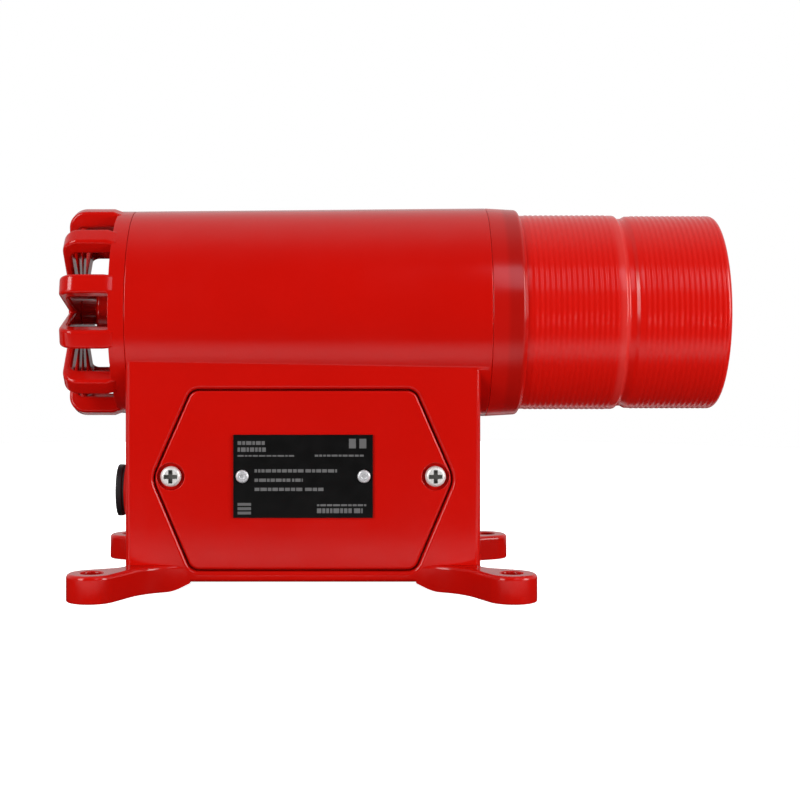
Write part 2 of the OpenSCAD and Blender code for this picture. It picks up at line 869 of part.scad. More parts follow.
module tone_slider(i) {
    proud = 0.8;
    color("white")
        translate([
            tone_pocket_x(i) + tone_gap,
            board_front - tone_body_d - proud,
            tone_z - tone_pocket_h / 2 + tone_end_gap
        ])
            cube([tone_slider_w, tone_pocket_d - 0.4 + proud, tone_slider_h]);
}

module volume_body() {
    color("royalblue") difference() {
        translate([volume_x - volume_size / 2, board_front - volume_d, volume_z - volume_size / 2])
            cube([volume_size, volume_d, volume_size]);
        facing_front(volume_x, board_front - volume_d + 3, volume_z)
            cylinder(h = 4, r = volume_rotor_r + fit_gap);
    }
}

module volume_rotor() {
    color("white") facing_front(volume_x, board_front - volume_d + 2.7, volume_z) difference() {
        cylinder(h = 3.2, r = volume_rotor_r);
        translate([-volume_rotor_r + 0.8, -0.5, 2]) cube([2 * volume_rotor_r - 1.6, 1, 2]);
        translate([volume_rotor_r - 1.6, -0.9, 2.4]) cube([1, 1.8, 2]);
    }
}

module board_capacitors() {
    color("midnightblue") for (x = [18, 32])
        facing_front(x, board_front, board_z + 10) cylinder(h = 18, r = 5.5, $fn = small_fn);
}

module board_choke() {
    color("saddlebrown") facing_front(-14, board_front, board_z - 6) difference() {
        cylinder(h = 7, r = 7);
        translate([0, 0, -past]) cylinder(h = 9, r = 3);
    }
}

module board_chips() {
    color("black") {
        translate([-2, board_front - 2, board_z - 6]) cube([10, 2, 6]);
        translate([24, board_front - 2, board_z - 10]) cube([8, 2, 5]);
        translate([-38, board_front - 2.4, board_z - 8]) cube([9, 2.4, 6]);
    }
}

module earth_stud() {
    color("goldenrod") facing_front(earth_x, space_back, earth_z) cylinder(h = 20, r = 2, $fn = small_fn);
}

module earth_washers() {
    color("silver") for (y = [space_back - 8, space_back - 10])
        facing_front(earth_x, y, earth_z) difference() {
            cylinder(h = 1, r = 4.5, $fn = small_fn);
            translate([0, 0, -past]) cylinder(h = 3, r = 2, $fn = small_fn);
        }
}

module earth_nut() {
    color("goldenrod") facing_front(earth_x, space_back - 11, earth_z) difference() {
        cylinder(h = 3.2, r = 4, $fn = 6);
        translate([0, 0, -past]) cylinder(h = 6, r = 2, $fn = small_fn);
    }
}

// Pair of wires from the back of the control board, up a hole and along to end_x
module wire_pair(hole_x, end_x, rise) {
    back = board_front + board_t;
    top = board_z + board_h / 2;
    way = sign(end_x - hole_x);
    color("black") for (side = [-wire_gap, wire_gap])
        wire([
            [hole_x + side, back, top - 4],
            [hole_x + side, back + 5, top - 4],
            [hole_x + side, back + 5, top],
            [hole_x + side, wire_hole_y, ceiling_z - 0.5],
            [hole_x + side, wire_hole_y, ceiling_z + rise - way * side * 1.5],
            [end_x, wire_hole_y, ceiling_z + rise - way * side * 1.5]
        ], wire_r);
}

module driver_wires() {
    wire_pair(driver_wire_x, plate_left + top_plate_t + magnet_t + yoke_t, 24);
}

module beacon_wires() {
    wire_pair(beacon_wire_x, beacon_board_x, 20);
}

// ---------- Terminal cover ----------

module terminal_cover() {
    color("red") difference() {
        front_slab(rounded_outline(cover_corners, cover_radii), cover_back, cover_t);
        for (x = [-cover_screw_x, cover_screw_x]) {
            facing_front(x, cover_back + past, cover_screw_z)
                cylinder(h = cover_t + 2 * past, r = screw_hole_r, $fn = small_fn);
            facing_front(x, screw_seat, cover_screw_z)
                cylinder(h = screw_sink + past, r = screw_sink_r, $fn = small_fn);
        }
        for (x = [-rivet_x, rivet_x])
            facing_front(x, cover_back - 1, plate_z) cylinder(h = cover_t, r = rivet_shank_r, $fn = small_fn);
    }
}

module cover_gasket() {
    color("black") difference() {
        front_slab(rounded_outline(inset_outline(cover_corners, gasket_outer_inset), cover_radii),
            recess_floor, gasket_t);
        cover_opening(recess_floor + past, gasket_t + 2 * past);
        for (x = [-cover_screw_x, cover_screw_x])
            facing_front(x, recess_floor + past, cover_screw_z)
                cylinder(h = gasket_t + 2 * past, r = screw_hole_r, $fn = small_fn);
    }
}

module cover_screw(x) {
    color("silver") facing_front(x, screw_seat, cover_screw_z)
        pan_screw(cover_screw_r, screw_len, screw_head_r, screw_head_h);
}

module nameplate() {
    color("black") difference() {
        translate([-plate_w / 2, cover_front - plate_t, plate_z - plate_h / 2])
            cube([plate_w, plate_t, plate_h]);
        for (x = [-rivet_x, rivet_x])
            facing_front(x, cover_front + past, plate_z)
                cylinder(h = plate_t + 2 * past, r = rivet_shank_r, $fn = small_fn);
    }
}

// Blind rivets: a domed head with a shallow dish where the stem broke off
module nameplate_rivets() {
    color("silver") for (x = [-rivet_x, rivet_x])
        facing_front(x, cover_front - plate_t, plate_z) difference() {
            union() {
                translate([0, 0, -4]) cylinder(h = 4.2, r = rivet_shank_r, $fn = small_fn);
                rotate_extrude($fn = small_fn) polygon(concat(
                    [[0, 0], [3, 0]], arc_points([2, 0.2], 1, 0, 90, 5), [[0, 1.2]]
                ));
            }
            translate([0, 0, 0.6]) cylinder(h = 2, r = 1.1, $fn = small_fn);
        }
}

// ---------- Stopping plug ----------

module plug_washer() {
    color("black") translate([entry_face - washer_t, 0, entry_z]) rotate([0, 90, 0]) difference() {
        cylinder(h = washer_t, r = plug_flange_r - 0.6);
        translate([0, 0, -past]) cylinder(h = washer_t + 2 * past, r = entry_r);
    }
}

module stopping_plug() {
    flange_x = entry_face - washer_t - plug_flange_t;
    color("black") translate([flange_x, 0, entry_z]) rotate([0, 90, 0]) difference() {
        union() {
            cylinder(h = plug_flange_t, r = plug_flange_r);
            cylinder(h = plug_flange_t + plug_thread_len, r = entry_r - fit_gap);
        }
        translate([0, 0, -past]) cylinder(h = past + 7, r = plug_key / sqrt(3), $fn = 6);
    }
}

housing();
horn_grille();
grille_screws();
horn_flare();
horn_deflector();
deflector_screw();
driver_gasket();
driver_frame();
driver_top_plate();
driver_magnet();
driver_yoke();
driver_screws();
diaphragm();
voice_coil();
beacon_base();
lens_seal();
lens_gasket();
beacon_lens();
reflector();
tube_base();
flash_tube();
beacon_board();
beacon_pillars();
beacon_screws();
storage_capacitor();
trigger_transformer();
control_board();
board_pillars();
board_screws();
board_capacitors();
board_choke();
board_chips();
terminal_block();
terminal_screws();
tone_switch_body();
tone_slider(1);  // tone_slider_1
tone_slider(2);  // tone_slider_2
tone_slider(3);  // tone_slider_3
tone_slider(4);  // tone_slider_4
volume_body();
volume_rotor();
earth_stud();
earth_washers();
earth_nut();
driver_wires();
beacon_wires();
terminal_cover();
cover_gasket();
cover_screw(-cover_screw_x);  // cover_screw_left
cover_screw(cover_screw_x);  // cover_screw_right
nameplate();
nameplate_rivets();
stopping_plug();
plug_washer();
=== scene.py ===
"""Looks of the horn strobe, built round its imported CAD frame.

Lengths are in metres down to the mesh helpers, unless a name ends in _mm or _MM. From there on they are in
millimetres, and the helpers turn them into metres as they make each vertex.
"""

import json
import math
import random

import bmesh
import bpy
from mathutils import Matrix, Vector


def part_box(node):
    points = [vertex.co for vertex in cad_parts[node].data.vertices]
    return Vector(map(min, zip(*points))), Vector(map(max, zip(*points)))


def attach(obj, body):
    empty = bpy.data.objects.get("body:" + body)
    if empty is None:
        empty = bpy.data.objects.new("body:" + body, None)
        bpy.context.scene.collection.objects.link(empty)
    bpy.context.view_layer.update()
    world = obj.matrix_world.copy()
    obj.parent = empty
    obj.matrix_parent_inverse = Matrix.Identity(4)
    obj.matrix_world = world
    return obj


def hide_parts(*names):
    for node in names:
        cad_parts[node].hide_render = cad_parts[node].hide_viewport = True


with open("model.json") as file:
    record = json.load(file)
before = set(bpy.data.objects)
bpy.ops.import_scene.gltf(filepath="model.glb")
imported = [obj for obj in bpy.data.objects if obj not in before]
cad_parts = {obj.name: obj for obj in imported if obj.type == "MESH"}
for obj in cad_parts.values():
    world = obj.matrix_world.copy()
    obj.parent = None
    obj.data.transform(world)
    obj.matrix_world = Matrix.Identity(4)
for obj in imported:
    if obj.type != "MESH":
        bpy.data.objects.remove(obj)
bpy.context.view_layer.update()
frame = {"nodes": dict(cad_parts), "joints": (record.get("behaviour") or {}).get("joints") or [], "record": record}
MM = 0.001

# ---------- Places, from the frame ----------

AXIS_Z = next(joint["pos_m"][2] for joint in frame["joints"] if joint["name"] == "lens_turn")
AXIS_MM = AXIS_Z / MM
SLOT_OF = {row["node"]: row["material_slot"] for row in frame["record"]["subparts"]}
BODY_OF = {
    node: body for body, nodes in frame["record"]["behaviour"]["bodies"].items() for node in nodes
}


# ---------- Camera ----------

CAMERA_PLACE = (0.0192, -0.760, 0.1229)
CAMERA_SENSOR_MM = 36
CAMERA_LENS_MM = 70.1
CAMERA_SHIFT = (0.069, -0.094)


def make_camera():
    """Level camera in front of the unit, a little right of its middle and just below the tube's axis."""
    data = bpy.data.cameras.new("camera")
    data.sensor_width = CAMERA_SENSOR_MM
    data.lens = CAMERA_LENS_MM
    data.shift_x, data.shift_y = CAMERA_SHIFT
    data.clip_start = 0.01
    data.clip_end = 20
    camera = bpy.data.objects.new("camera", data)
    bpy.context.scene.collection.objects.link(camera)
    camera.location = CAMERA_PLACE
    camera.rotation_euler = (math.radians(90), 0, 0)
    bpy.context.scene.camera = camera


# ---------- Node helpers ----------

def map_range(tree, value, span, to_low, to_high):
    """Smooth step of a socket's value, from a span of it to another range."""
    node = tree.nodes.new("ShaderNodeMapRange")
    node.interpolation_type = "SMOOTHSTEP"
    tree.links.new(value, node.inputs["Value"])
    node.inputs["From Min"].default_value = span[0]
    node.inputs["From Max"].default_value = span[1]
    node.inputs["To Min"].default_value = to_low
    node.inputs["To Max"].default_value = to_high
    return node.outputs["Result"]


def math_node(tree, operation, a, b):
    """Result of one math node; a is a socket, b a socket or a number."""
    node = tree.nodes.new("ShaderNodeMath")
    node.operation = operation
    tree.links.new(a, node.inputs[0])
    if isinstance(b, (int, float)):
        node.inputs[1].default_value = b
    else:
        tree.links.new(b, node.inputs[1])
    return node.outputs[0]


def split_coordinates(tree, kind):
    """X, Y and Z sockets of one kind of texture coordinates."""
    coords = tree.nodes.new("ShaderNodeTexCoord")
    split = tree.nodes.new("ShaderNodeSeparateXYZ")
    tree.links.new(coords.outputs[kind], split.inputs[0])
    return split.outputs


def camera_sees(tree, seen, cast):
    """Shader that shows seen to the camera and gives cast to every other ray."""
    rays = tree.nodes.new("ShaderNodeLightPath")
    mix = tree.nodes.new("ShaderNodeMixShader")
    tree.links.new(rays.outputs["Is Camera Ray"], mix.inputs[0])
    tree.links.new(cast.outputs[0], mix.inputs[1])
    tree.links.new(seen.outputs[0], mix.inputs[2])
    return mix.outputs[0]


# ---------- World, floor and lights ----------

WORLD_GAIN = 0.75
WORLD_LEAST = 0.02
WORLD_DEPTH_SPAN = (-0.75, 1.0)
WORLD_HEIGHT_SPAN = (-0.45, 0.35)
FLOOR_RADIUS = 0.9
FLOOR_WHITE = (0.97, 0.97, 0.97, 1)
FLOOR_GLOW = 1.0
FLOOR_BOUNCE = 0.8
FLOOR_DARK = 0.03
FLOOR_BRIGHTENS = (0.09, 0.14)
FLOOR_DIMS = (0.15, 0.25)
LIGHT_AIM = (0.03, 0, 0.09)
KEY_DISTANCE, KEY_SIZE = 1.4, (0.5, 0.9)
KEY_LEFT_POWER, KEY_RIGHT_POWER = 6.5, 9.75
LOW_FILL_PLACE, LOW_FILL_SIZE, LOW_FILL_POWER = (0.55, -0.55, 0.03), (0.5, 0.05), 1.8
TOP_DISTANCE = 1.3
TOP_FILL_SIZE, TOP_FILL_POWER = (1.5, 0.9), 7
RIGHT_BOX_SIZE, RIGHT_BOX_POWER, RIGHT_BOX_COLOUR = (0.36, 0.55), 1.4, (0.9, 0.88, 1)
LEFT_BOX_SIZE, LEFT_BOX_POWER = (0.5, 0.45), 2.38


def make_world():
    """White backdrop to the camera; as light, dim in front and brighter overhead and behind."""
    world = bpy.data.worlds.new("studio")
    bpy.context.scene.world = world
    world.use_nodes = True
    tree = world.node_tree
    tree.nodes.clear()
    way = split_coordinates(tree, "Generated")
    behind = map_range(tree, way["Y"], WORLD_DEPTH_SPAN, 0, 1)
    above = map_range(tree, way["Z"], WORLD_HEIGHT_SPAN, 0, 1)
    light = math_node(tree, "MULTIPLY", math_node(tree, "MULTIPLY", behind, above), WORLD_GAIN)
    soft = tree.nodes.new("ShaderNodeBackground")
    tree.links.new(math_node(tree, "ADD", light, WORLD_LEAST), soft.inputs["Strength"])
    white = tree.nodes.new("ShaderNodeBackground")
    white.inputs["Color"].default_value = (1, 1, 1, 1)
    out = tree.nodes.new("ShaderNodeOutputWorld")
    tree.links.new(camera_sees(tree, white, soft), out.inputs["Surface"])


def make_floor():
    """Pale round floor at the mounting plane: white to the camera; as light, bright only in a strip in front
    of the feet and another behind them."""
    mesh = bpy.data.meshes.new("floor")
    shape = bmesh.new()
    bmesh.ops.create_circle(shape, cap_ends=True, segments=128, radius=FLOOR_RADIUS)
    shape.to_mesh(mesh)
    shape.free()
    floor = bpy.data.objects.new("floor", mesh)
    bpy.context.scene.collection.objects.link(floor)
    material = bpy.data.materials.new("floor")
    material.use_nodes = True
    tree = material.node_tree
    tree.nodes.clear()
    pale = tree.nodes.new("ShaderNodeBsdfDiffuse")
    pale.inputs["Color"].default_value = FLOOR_WHITE
    glow = tree.nodes.new("ShaderNodeEmission")
    glow.inputs["Strength"].default_value = FLOOR_GLOW
    shown = tree.nodes.new("ShaderNodeAddShader")
    tree.links.new(pale.outputs[0], shown.inputs[0])
    tree.links.new(glow.outputs[0], shown.inputs[1])
    reach = math_node(tree, "ABSOLUTE", split_coordinates(tree, "Object")["Y"], 0)
    near = map_range(tree, reach, FLOOR_BRIGHTENS, FLOOR_DARK, 1)
    far = map_range(tree, reach, FLOOR_DIMS, 1, FLOOR_DARK)
    strip = math_node(tree, "MULTIPLY", math_node(tree, "MULTIPLY", near, far), FLOOR_BOUNCE)
    grey = tree.nodes.new("ShaderNodeBsdfDiffuse")
    tree.links.new(strip, grey.inputs["Color"])
    out = tree.nodes.new("ShaderNodeOutputMaterial")
    tree.links.new(camera_sees(tree, shown, grey), out.inputs["Surface"])
    mesh.materials.append(material)


def aimed(azimuth, elevation, distance):
    """Point at a distance from the tube's axis; azimuth 0 is straight in front, positive to the right."""
    flat = distance * math.cos(math.radians(elevation))
    turn = math.radians(azimuth)
    return (
        flat * math.sin(turn),
        -flat * math.cos(turn),
        distance * math.sin(math.radians(elevation)) + AXIS_Z,
    )


def area_light(name, place, size, power, colour=(1, 1, 1)):
    """Rectangular soft light at place, facing the unit."""
    data = bpy.data.lights.new(name, "AREA")
    data.shape = "RECTANGLE"
    data.size, data.size_y = size
    data.energy = power
    data.color = colour
    light = bpy.data.objects.new(name, data)
    bpy.context.scene.collection.objects.link(light)
    light.location = place
    light.visible_camera = False
    light.rotation_mode = "QUATERNION"
    light.rotation_quaternion = (Vector(LIGHT_AIM) - Vector(place)).to_track_quat("-Z", "Y")
    return light


def fill_light(name, place, size, power):
    """Soft light that shows in no reflection, not even in the lens's clear share."""
    light = area_light(name, place, size, power)
    light.visible_glossy = False
    light.visible_transmission = False


def make_lights():
    """Two keys from the sides, fills from low down and overhead, and two softboxes that give the glints."""
    area_light("key_left", aimed(-46, 14, KEY_DISTANCE), KEY_SIZE, KEY_LEFT_POWER)
    area_light("key_right", aimed(64, 14, KEY_DISTANCE), KEY_SIZE, KEY_RIGHT_POWER)
    x, y, z = LOW_FILL_PLACE
    fill_light("fill_low_left", (-x, y, z), LOW_FILL_SIZE, LOW_FILL_POWER)
    fill_light("fill_low_right", (x, y, z), LOW_FILL_SIZE, LOW_FILL_POWER)
    fill_light("fill_top", aimed(180, 75, TOP_DISTANCE), TOP_FILL_SIZE, TOP_FILL_POWER)
    right_place = aimed(26, 36, TOP_DISTANCE)
    area_light("softbox_right", right_place, RIGHT_BOX_SIZE, RIGHT_BOX_POWER, RIGHT_BOX_COLOUR)
    area_light("softbox_left", aimed(-48, 32, TOP_DISTANCE), LEFT_BOX_SIZE, LEFT_BOX_POWER)


# ---------- Materials ----------

NOISE_SPAN = (0.3, 0.7)
NOISE_DETAIL = 3.0
TONE_SHARE = 0.9


class Finish:
    """A Principled material with a few texture helpers, all in the object's own coordinates."""

    def __init__(self, name, colour, roughness, **sockets):
        self.material = bpy.data.materials.new(name)
        self.material.use_nodes = True
        self.tree = self.material.node_tree
        self.shader = self.tree.nodes["Principled BSDF"]
        self.colour = colour
        self.shader.inputs["Base Color"].default_value = (*colour, 1)
        self.shader.inputs["Roughness"].default_value = roughness
        for socket, value in sockets.items():
            self.shader.inputs[socket.replace("_", " ")].default_value = value
        self.coords = self.tree.nodes.new("ShaderNodeTexCoord").outputs["Object"]
        self.normal = None

    def link(self, a, b):
        """Joins an output socket to an input socket."""
        self.tree.links.new(a, b)

    def noise(self, size_mm, stretch=(1, 1, 1)):
        """Noise from 0 to 1 whose blobs are about size_mm across, drawn out by stretch."""
        mapping = self.tree.nodes.new("ShaderNodeMapping")
        mapping.inputs["Scale"].default_value = [1 / s for s in stretch]
        self.link(self.coords, mapping.inputs["Vector"])
        node = self.tree.nodes.new("ShaderNodeTexNoise")
        node.inputs["Scale"].default_value = 1 / (size_mm * MM)
        node.inputs["Detail"].default_value = NOISE_DETAIL
        self.link(mapping.outputs[0], node.inputs["Vector"])
        return node.outputs["Fac"]

    def vary_colour(self, size_mm, darker, lighter):
        """Colour that drifts between the base colour times darker and times lighter."""
        ramp = self.tree.nodes.new("ShaderNodeValToRGB")
        for element, place, share in zip(ramp.color_ramp.elements, NOISE_SPAN, (darker, lighter)):
            element.position = place
            element.color = (*(min(1, c * share) for c in self.colour), 1)
        self.link(self.noise(size_mm), ramp.inputs[0])
        self.link(ramp.outputs[0], self.shader.inputs["Base Color"])
        return self

    def tone_along_x(self, tones):
        """Colours at places along X, in millimetres, laid over a share of the colour's own drift."""
        first, last = tones[0][0], tones[-1][0]
        along = self.tree.nodes.new("ShaderNodeMapRange")
        self.link(split_coordinates(self.tree, "Object")["X"], along.inputs["Value"])
        along.inputs["From Min"].default_value = first * MM
        along.inputs["From Max"].default_value = last * MM
        ramp = self.tree.nodes.new("ShaderNodeValToRGB")
        stops = ramp.color_ramp.elements
        stops[0].position = 0
        stops[0].color = (*tones[0][1], 1)
        stops[1].position = 1
        stops[1].color = (*tones[-1][1], 1)
        for place, colour in tones[1:-1]:
            stops.new((place - first) / (last - first)).color = (*colour, 1)
        self.link(along.outputs["Result"], ramp.inputs[0])
        mix = self.tree.nodes.new("ShaderNodeMix")
        mix.data_type = "RGBA"
        mix.inputs[0].default_value = TONE_SHARE
        # the node has sockets of the same names for other data types, so these are picked by their type
        drifting, toned = (socket for socket in mix.inputs if socket.type == "RGBA")
        result = next(socket for socket in mix.outputs if socket.type == "RGBA")
        self.link(self.shader.inputs["Base Color"].links[0].from_socket, drifting)
        self.link(ramp.outputs[0], toned)
        self.link(result, self.shader.inputs["Base Color"])
        return self

    def vary_roughness(self, size_mm, low, high):
        """Roughness that drifts between low and high."""
        uneven = map_range(self.tree, self.noise(size_mm), NOISE_SPAN, low, high)
        self.link(uneven, self.shader.inputs["Roughness"])
        return self

    def bump(self, size_mm, depth_mm, stretch=(1, 1, 1)):
        """Noise relief of about depth_mm, added to any relief made before."""
        node = self.tree.nodes.new("ShaderNodeBump")
        node.inputs["Strength"].default_value = 1
        node.inputs["Distance"].default_value = depth_mm * MM
        self.link(self.noise(size_mm, stretch), node.inputs["Height"])
        if self.normal:
            self.link(self.normal, node.inputs["Normal"])
        self.normal = node.outputs[0]
        self.link(self.normal, self.shader.inputs["Normal"])
        return self


def red_paint():
    """Glossy enamel: faint orange peel, slow colour drift and slightly uneven gloss."""
    finish = Finish("red_paint", (0.56, 0.0045, 0.0020), 0.16)
    finish.vary_colour(45, darker=0.97, lighter=1.02).vary_roughness(18, low=0.13, high=0.19)
    return finish.bump(3.0, depth_mm=0.002).bump(0.8, depth_mm=0.0006).material


LENS_RED = (0.56, 0.0060, 0.0030)
FLANGE_SHADE_RED = (0.40, 0.0050, 0.0028)
SEAL_SHADE_RED = (0.28, 0.0045, 0.0026)
EDGE_HIGHLIGHT_RED = (0.60, 0.036, 0.030)
# painted shade over the flange and, deeper, over the seal below it, and a painted highlight at the groove's left
# edge; places in millimetres, from the flange's left edge to the lens's far end
LENS_SHADE_AND_HIGHLIGHT_TONES = (
    (88, FLANGE_SHADE_RED), (93.5, FLANGE_SHADE_RED), (95.5, SEAL_SHADE_RED), (100.5, SEAL_SHADE_RED), (102.5, FLANGE_SHADE_RED),
    (104.5, LENS_RED), (145, LENS_RED), (147, EDGE_HIGHLIGHT_RED), (149.5, EDGE_HIGHLIGHT_RED), (151, LENS_RED),
    (197.3, LENS_RED),
)


def red_lens():
    """Translucent red moulding with a faint painted glow for light through it; painted shade over the flange and
    over the seal it sits on, and a painted highlight at the groove's edge.
    """
    # the faint red emission is a painted glow standing in for light that passes through the lens
    finish = Finish(
        "red_lens", LENS_RED, 0.20, Transmission_Weight=0.12, IOR=1.5,
        Emission_Color=(1.0, 0.008, 0.004, 1), Emission_Strength=0.12
    )
    # the tones lay painted shade and a painted highlight along the lens
    finish.vary_colour(30, darker=0.97, lighter=1.02).tone_along_x(LENS_SHADE_AND_HIGHLIGHT_TONES)
    return finish.bump(8, depth_mm=0.004).material


def plain(name, colour, roughness, grain_mm=1.0, grain_depth_mm=0.01, **sockets):
    """A finish with a fine grain and a slight drift in colour and gloss."""
    finish = Finish(name, colour, roughness, **sockets)
    finish.vary_colour(14, darker=0.88, lighter=1.1)
    finish.vary_roughness(5, low=roughness * 0.85, high=min(1, roughness * 1.15))
    return finish.bump(grain_mm, grain_depth_mm).material


def brushed(name, colour, roughness, metallic=1.0):
    """Bright metal with fine tool marks; less metallic stands for a dull plated skin."""
    finish = Finish(name, colour, roughness, Metallic=metallic)
    finish.vary_colour(6, darker=0.95, lighter=1.03)
    finish.vary_roughness(2, low=roughness * 0.8, high=roughness * 1.2)
    return finish.bump(0.25, depth_mm=0.001, stretch=(4, 4, 1)).material


FINISHES = {
    "red_paint": red_paint(),
    "red_lens": red_lens(),
    "label_black": plain("label_black", (0.004, 0.004, 0.004), 0.4, 0.4, 0.001, Specular_IOR_Level=0.2),
    "bright_steel": brushed("bright_steel", (0.92, 0.91, 0.88), 0.30, 0.35),
    "rivet_alloy": brushed("rivet_alloy", (0.86, 0.86, 0.88), 0.30, 0.5),
    "black_rubber": plain("black_rubber", (0.015, 0.015, 0.016), 0.75),
    "black_plastic": plain("black_plastic", (0.015, 0.015, 0.017), 0.45),
    "horn_plastic": plain("horn_plastic", (0.035, 0.035, 0.04), 0.40),
    "cast_alloy": brushed("cast_alloy", (0.55, 0.55, 0.56), 0.40),
    "mild_steel": brushed("mild_steel", (0.45, 0.45, 0.46), 0.38),
    "ferrite": plain("ferrite", (0.04, 0.04, 0.045), 0.6),
    "thin_alloy": brushed("thin_alloy", (0.68, 0.68, 0.70), 0.30),
    "copper": brushed("copper", (0.72, 0.32, 0.15), 0.35),
    "white_plastic": plain("white_plastic", (0.80, 0.80, 0.78), 0.3),
    "clear_glass": plain("clear_glass", (0.95, 0.98, 1.0), 0.02, Transmission_Weight=1.0, IOR=1.47),
    "cream_ceramic": plain("cream_ceramic", (0.72, 0.67, 0.54), 0.55),
    "board_green": plain("board_green", (0.01, 0.12, 0.05), 0.35),
    "brass": brushed("brass", (0.78, 0.55, 0.22), 0.30),
    "blue_sleeve": plain("blue_sleeve", (0.02, 0.03, 0.18), 0.35),
    "amber_tape": plain("amber_tape", (0.70, 0.38, 0.04), 0.3),
    "choke_wire": brushed("choke_wire", (0.55, 0.22, 0.09), 0.35),
    "chip_black": plain("chip_black", (0.02, 0.02, 0.022), 0.5),
    "terminal_green": plain("terminal_green", (0.02, 0.27, 0.11), 0.35),
    "switch_red": plain("switch_red", (0.42, 0.02, 0.02), 0.4),
    "trimmer_blue": plain("trimmer_blue", (0.02, 0.09, 0.38), 0.35),
    "wire_black": plain("wire_black", (0.02, 0.02, 0.02), 0.5),
}
# darker finish for the faces inside a screw's cross recess: painted shade
CROSS_SHADE_FINISH = brushed("screw_recess_shade", (0.30, 0.30, 0.28), 0.5, 0.6)
PRINT_FINISH = plain("print_grey", (0.13, 0.13, 0.13), 0.5)


# ---------- Mesh helpers, in millimetres from here on ----------

EXTRA = 1.0
SHARP_ANGLE = 38
DOUBLES_MM = 0.002
RIGHT, LEFT = (1, 0, 0), (-1, 0, 0)
FORWARDS, BACKWARDS = (0, -1, 0), (0, 1, 0)
UP = (0, 0, 1)
PLANES = {
    "X": lambda a, b, place: Vector((place, a, b)),
    "Y": lambda a, b, place: Vector((a, place, b)),
    "Z": lambda a, b, place: Vector((a, b, place)),
}


def quarter(steps=4):
    """Angles in radians that go through a quarter turn."""
    return [math.radians(90 * k / steps) for k in range(steps + 1)]


def arc(centre, radius, start, end, steps):
    """Points on an arc, angles in degrees."""
    turns = [math.radians(start + (end - start) * k / steps) for k in range(steps + 1)]
    return [(centre[0] + radius * math.cos(t), centre[1] + radius * math.sin(t)) for t in turns]


def rectangle(low, high):
    """Corners of a rectangle, from its lowest and highest ones."""
    return [(low[0], low[1]), (high[0], low[1]), (high[0], high[1]), (low[0], high[1])]


def rounded_path(points, radii, steps=4):
    """Closed outline with each corner turned into an arc; a radius of 0 keeps the corner."""
    path = []
    for index, radius in enumerate(radii):
        corner = Vector(points[index])
        if radius == 0:
            path.append(corner)
            continue
        to_last = (Vector(points[index - 1]) - corner).normalized()
        to_next = (Vector(points[(index + 1) % len(points)]) - corner).normalized()
        half = to_last.angle(to_next) / 2
        centre = corner + (to_last + to_next).normalized() * radius / math.sin(half)
        first = corner + to_last * radius / math.tan(half) - centre
        last = corner + to_next * radius / math.tan(half) - centre
        begin = math.atan2(first.y, first.x)
        sweep = (math.atan2(last.y, last.x) - begin + math.pi) % math.tau - math.pi
        for k in range(steps + 1):
            turn = begin + sweep * k / steps
            path.append(centre + radius * Vector((math.cos(turn), math.sin(turn))))
    return path


def signed_area(outline):
    """Area inside a closed outline, negative where it runs clockwise."""
    return sum(a[0] * b[1] - b[0] * a[1] for a, b in zip(outline, outline[1:] + outline[:1])) / 2


def grown(outline, distance):
    """Closed outline moved outwards by distance, or inwards if that is negative."""
    points = [Vector(point) for point in outline]
    side = 1 if signed_area(outline) > 0 else -1
    result = []
    for index, point in enumerate(points):
        before = (point - points[index - 1]).normalized()
        after = (points[(index + 1) % len(points)] - point).normalized()
        normal_before = Vector((before.y, -before.x)) * side
        normal_after = Vector((after.y, -after.x)) * side
        bisector = normal_before + normal_after
        result.append(point + distance * bisector / (1 + normal_before.dot(normal_after)))
    return result


def loft(outline, axis, rings):
    """Solid whose sections along axis are the outline grown by each ring's first number, at its second."""
    shape = bmesh.new()
    loops = [
        [shape.verts.new(PLANES[axis](point[0], point[1], place) * MM) for point in grown(outline, growth)]
        for growth, place in rings
    ]
    for low, high in zip(loops, loops[1:]):
        for k in range(len(low)):
            shape.faces.new((low[k - 1], low[k], high[k], high[k - 1]))
    shape.faces.new(loops[0][::-1])
    shape.faces.new(loops[-1])
    bmesh.ops.recalc_face_normals(shape, faces=shape.faces)
    return shape


def rim(place, toward, radius):
    """Rings of a rounded rim that ends at place; toward is +1 where the solid lies below it, -1 above."""
    return [(radius * (math.cos(t) - 1), place - toward * radius * (1 - math.sin(t))) for t in quarter()]


def slab(outline, axis, low, high, low_rim=0.0, high_rim=0.0):
    """Extrusion of an outline with rounded rims."""
    below = rim(low, -1, low_rim)[::-1] if low_rim else [(0, low)]
    above = rim(high, 1, high_rim) if high_rim else [(0, high)]
    return loft(outline, axis, below + above)


def turned(profile, origin=(0, 0, AXIS_MM), direction=RIGHT, steps=144):
    """Solid of revolution of a closed profile of (along, radius) points; about the horn axis unless told."""
    start = Vector(origin)
    along = Vector(direction)
    side = along.orthogonal().normalized()
    up = along.cross(side)
    shape = bmesh.new()
    loops = []
    for place, radius in profile:
        # a point on the axis gives one vertex, any other a whole ring
        count = steps if radius > 0 else 1
        loops.append([
            shape.verts.new((start + along * place + radius * (
                side * math.cos(math.tau * k / steps) + up * math.sin(math.tau * k / steps)
            )) * MM)
            for k in range(count)
        ])
    for first, second in zip(loops, loops[1:] + loops[:1]):
        if len(first) == 1 and len(second) == 1:
            continue
        for k in range(steps):
            corners = [first[(k - 1) % len(first)], first[k % len(first)],
                       second[k % len(second)], second[(k - 1) % len(second)]]
            shape.faces.new(list(dict.fromkeys(corners)))
    bmesh.ops.recalc_face_normals(shape, faces=shape.faces)
    return shape


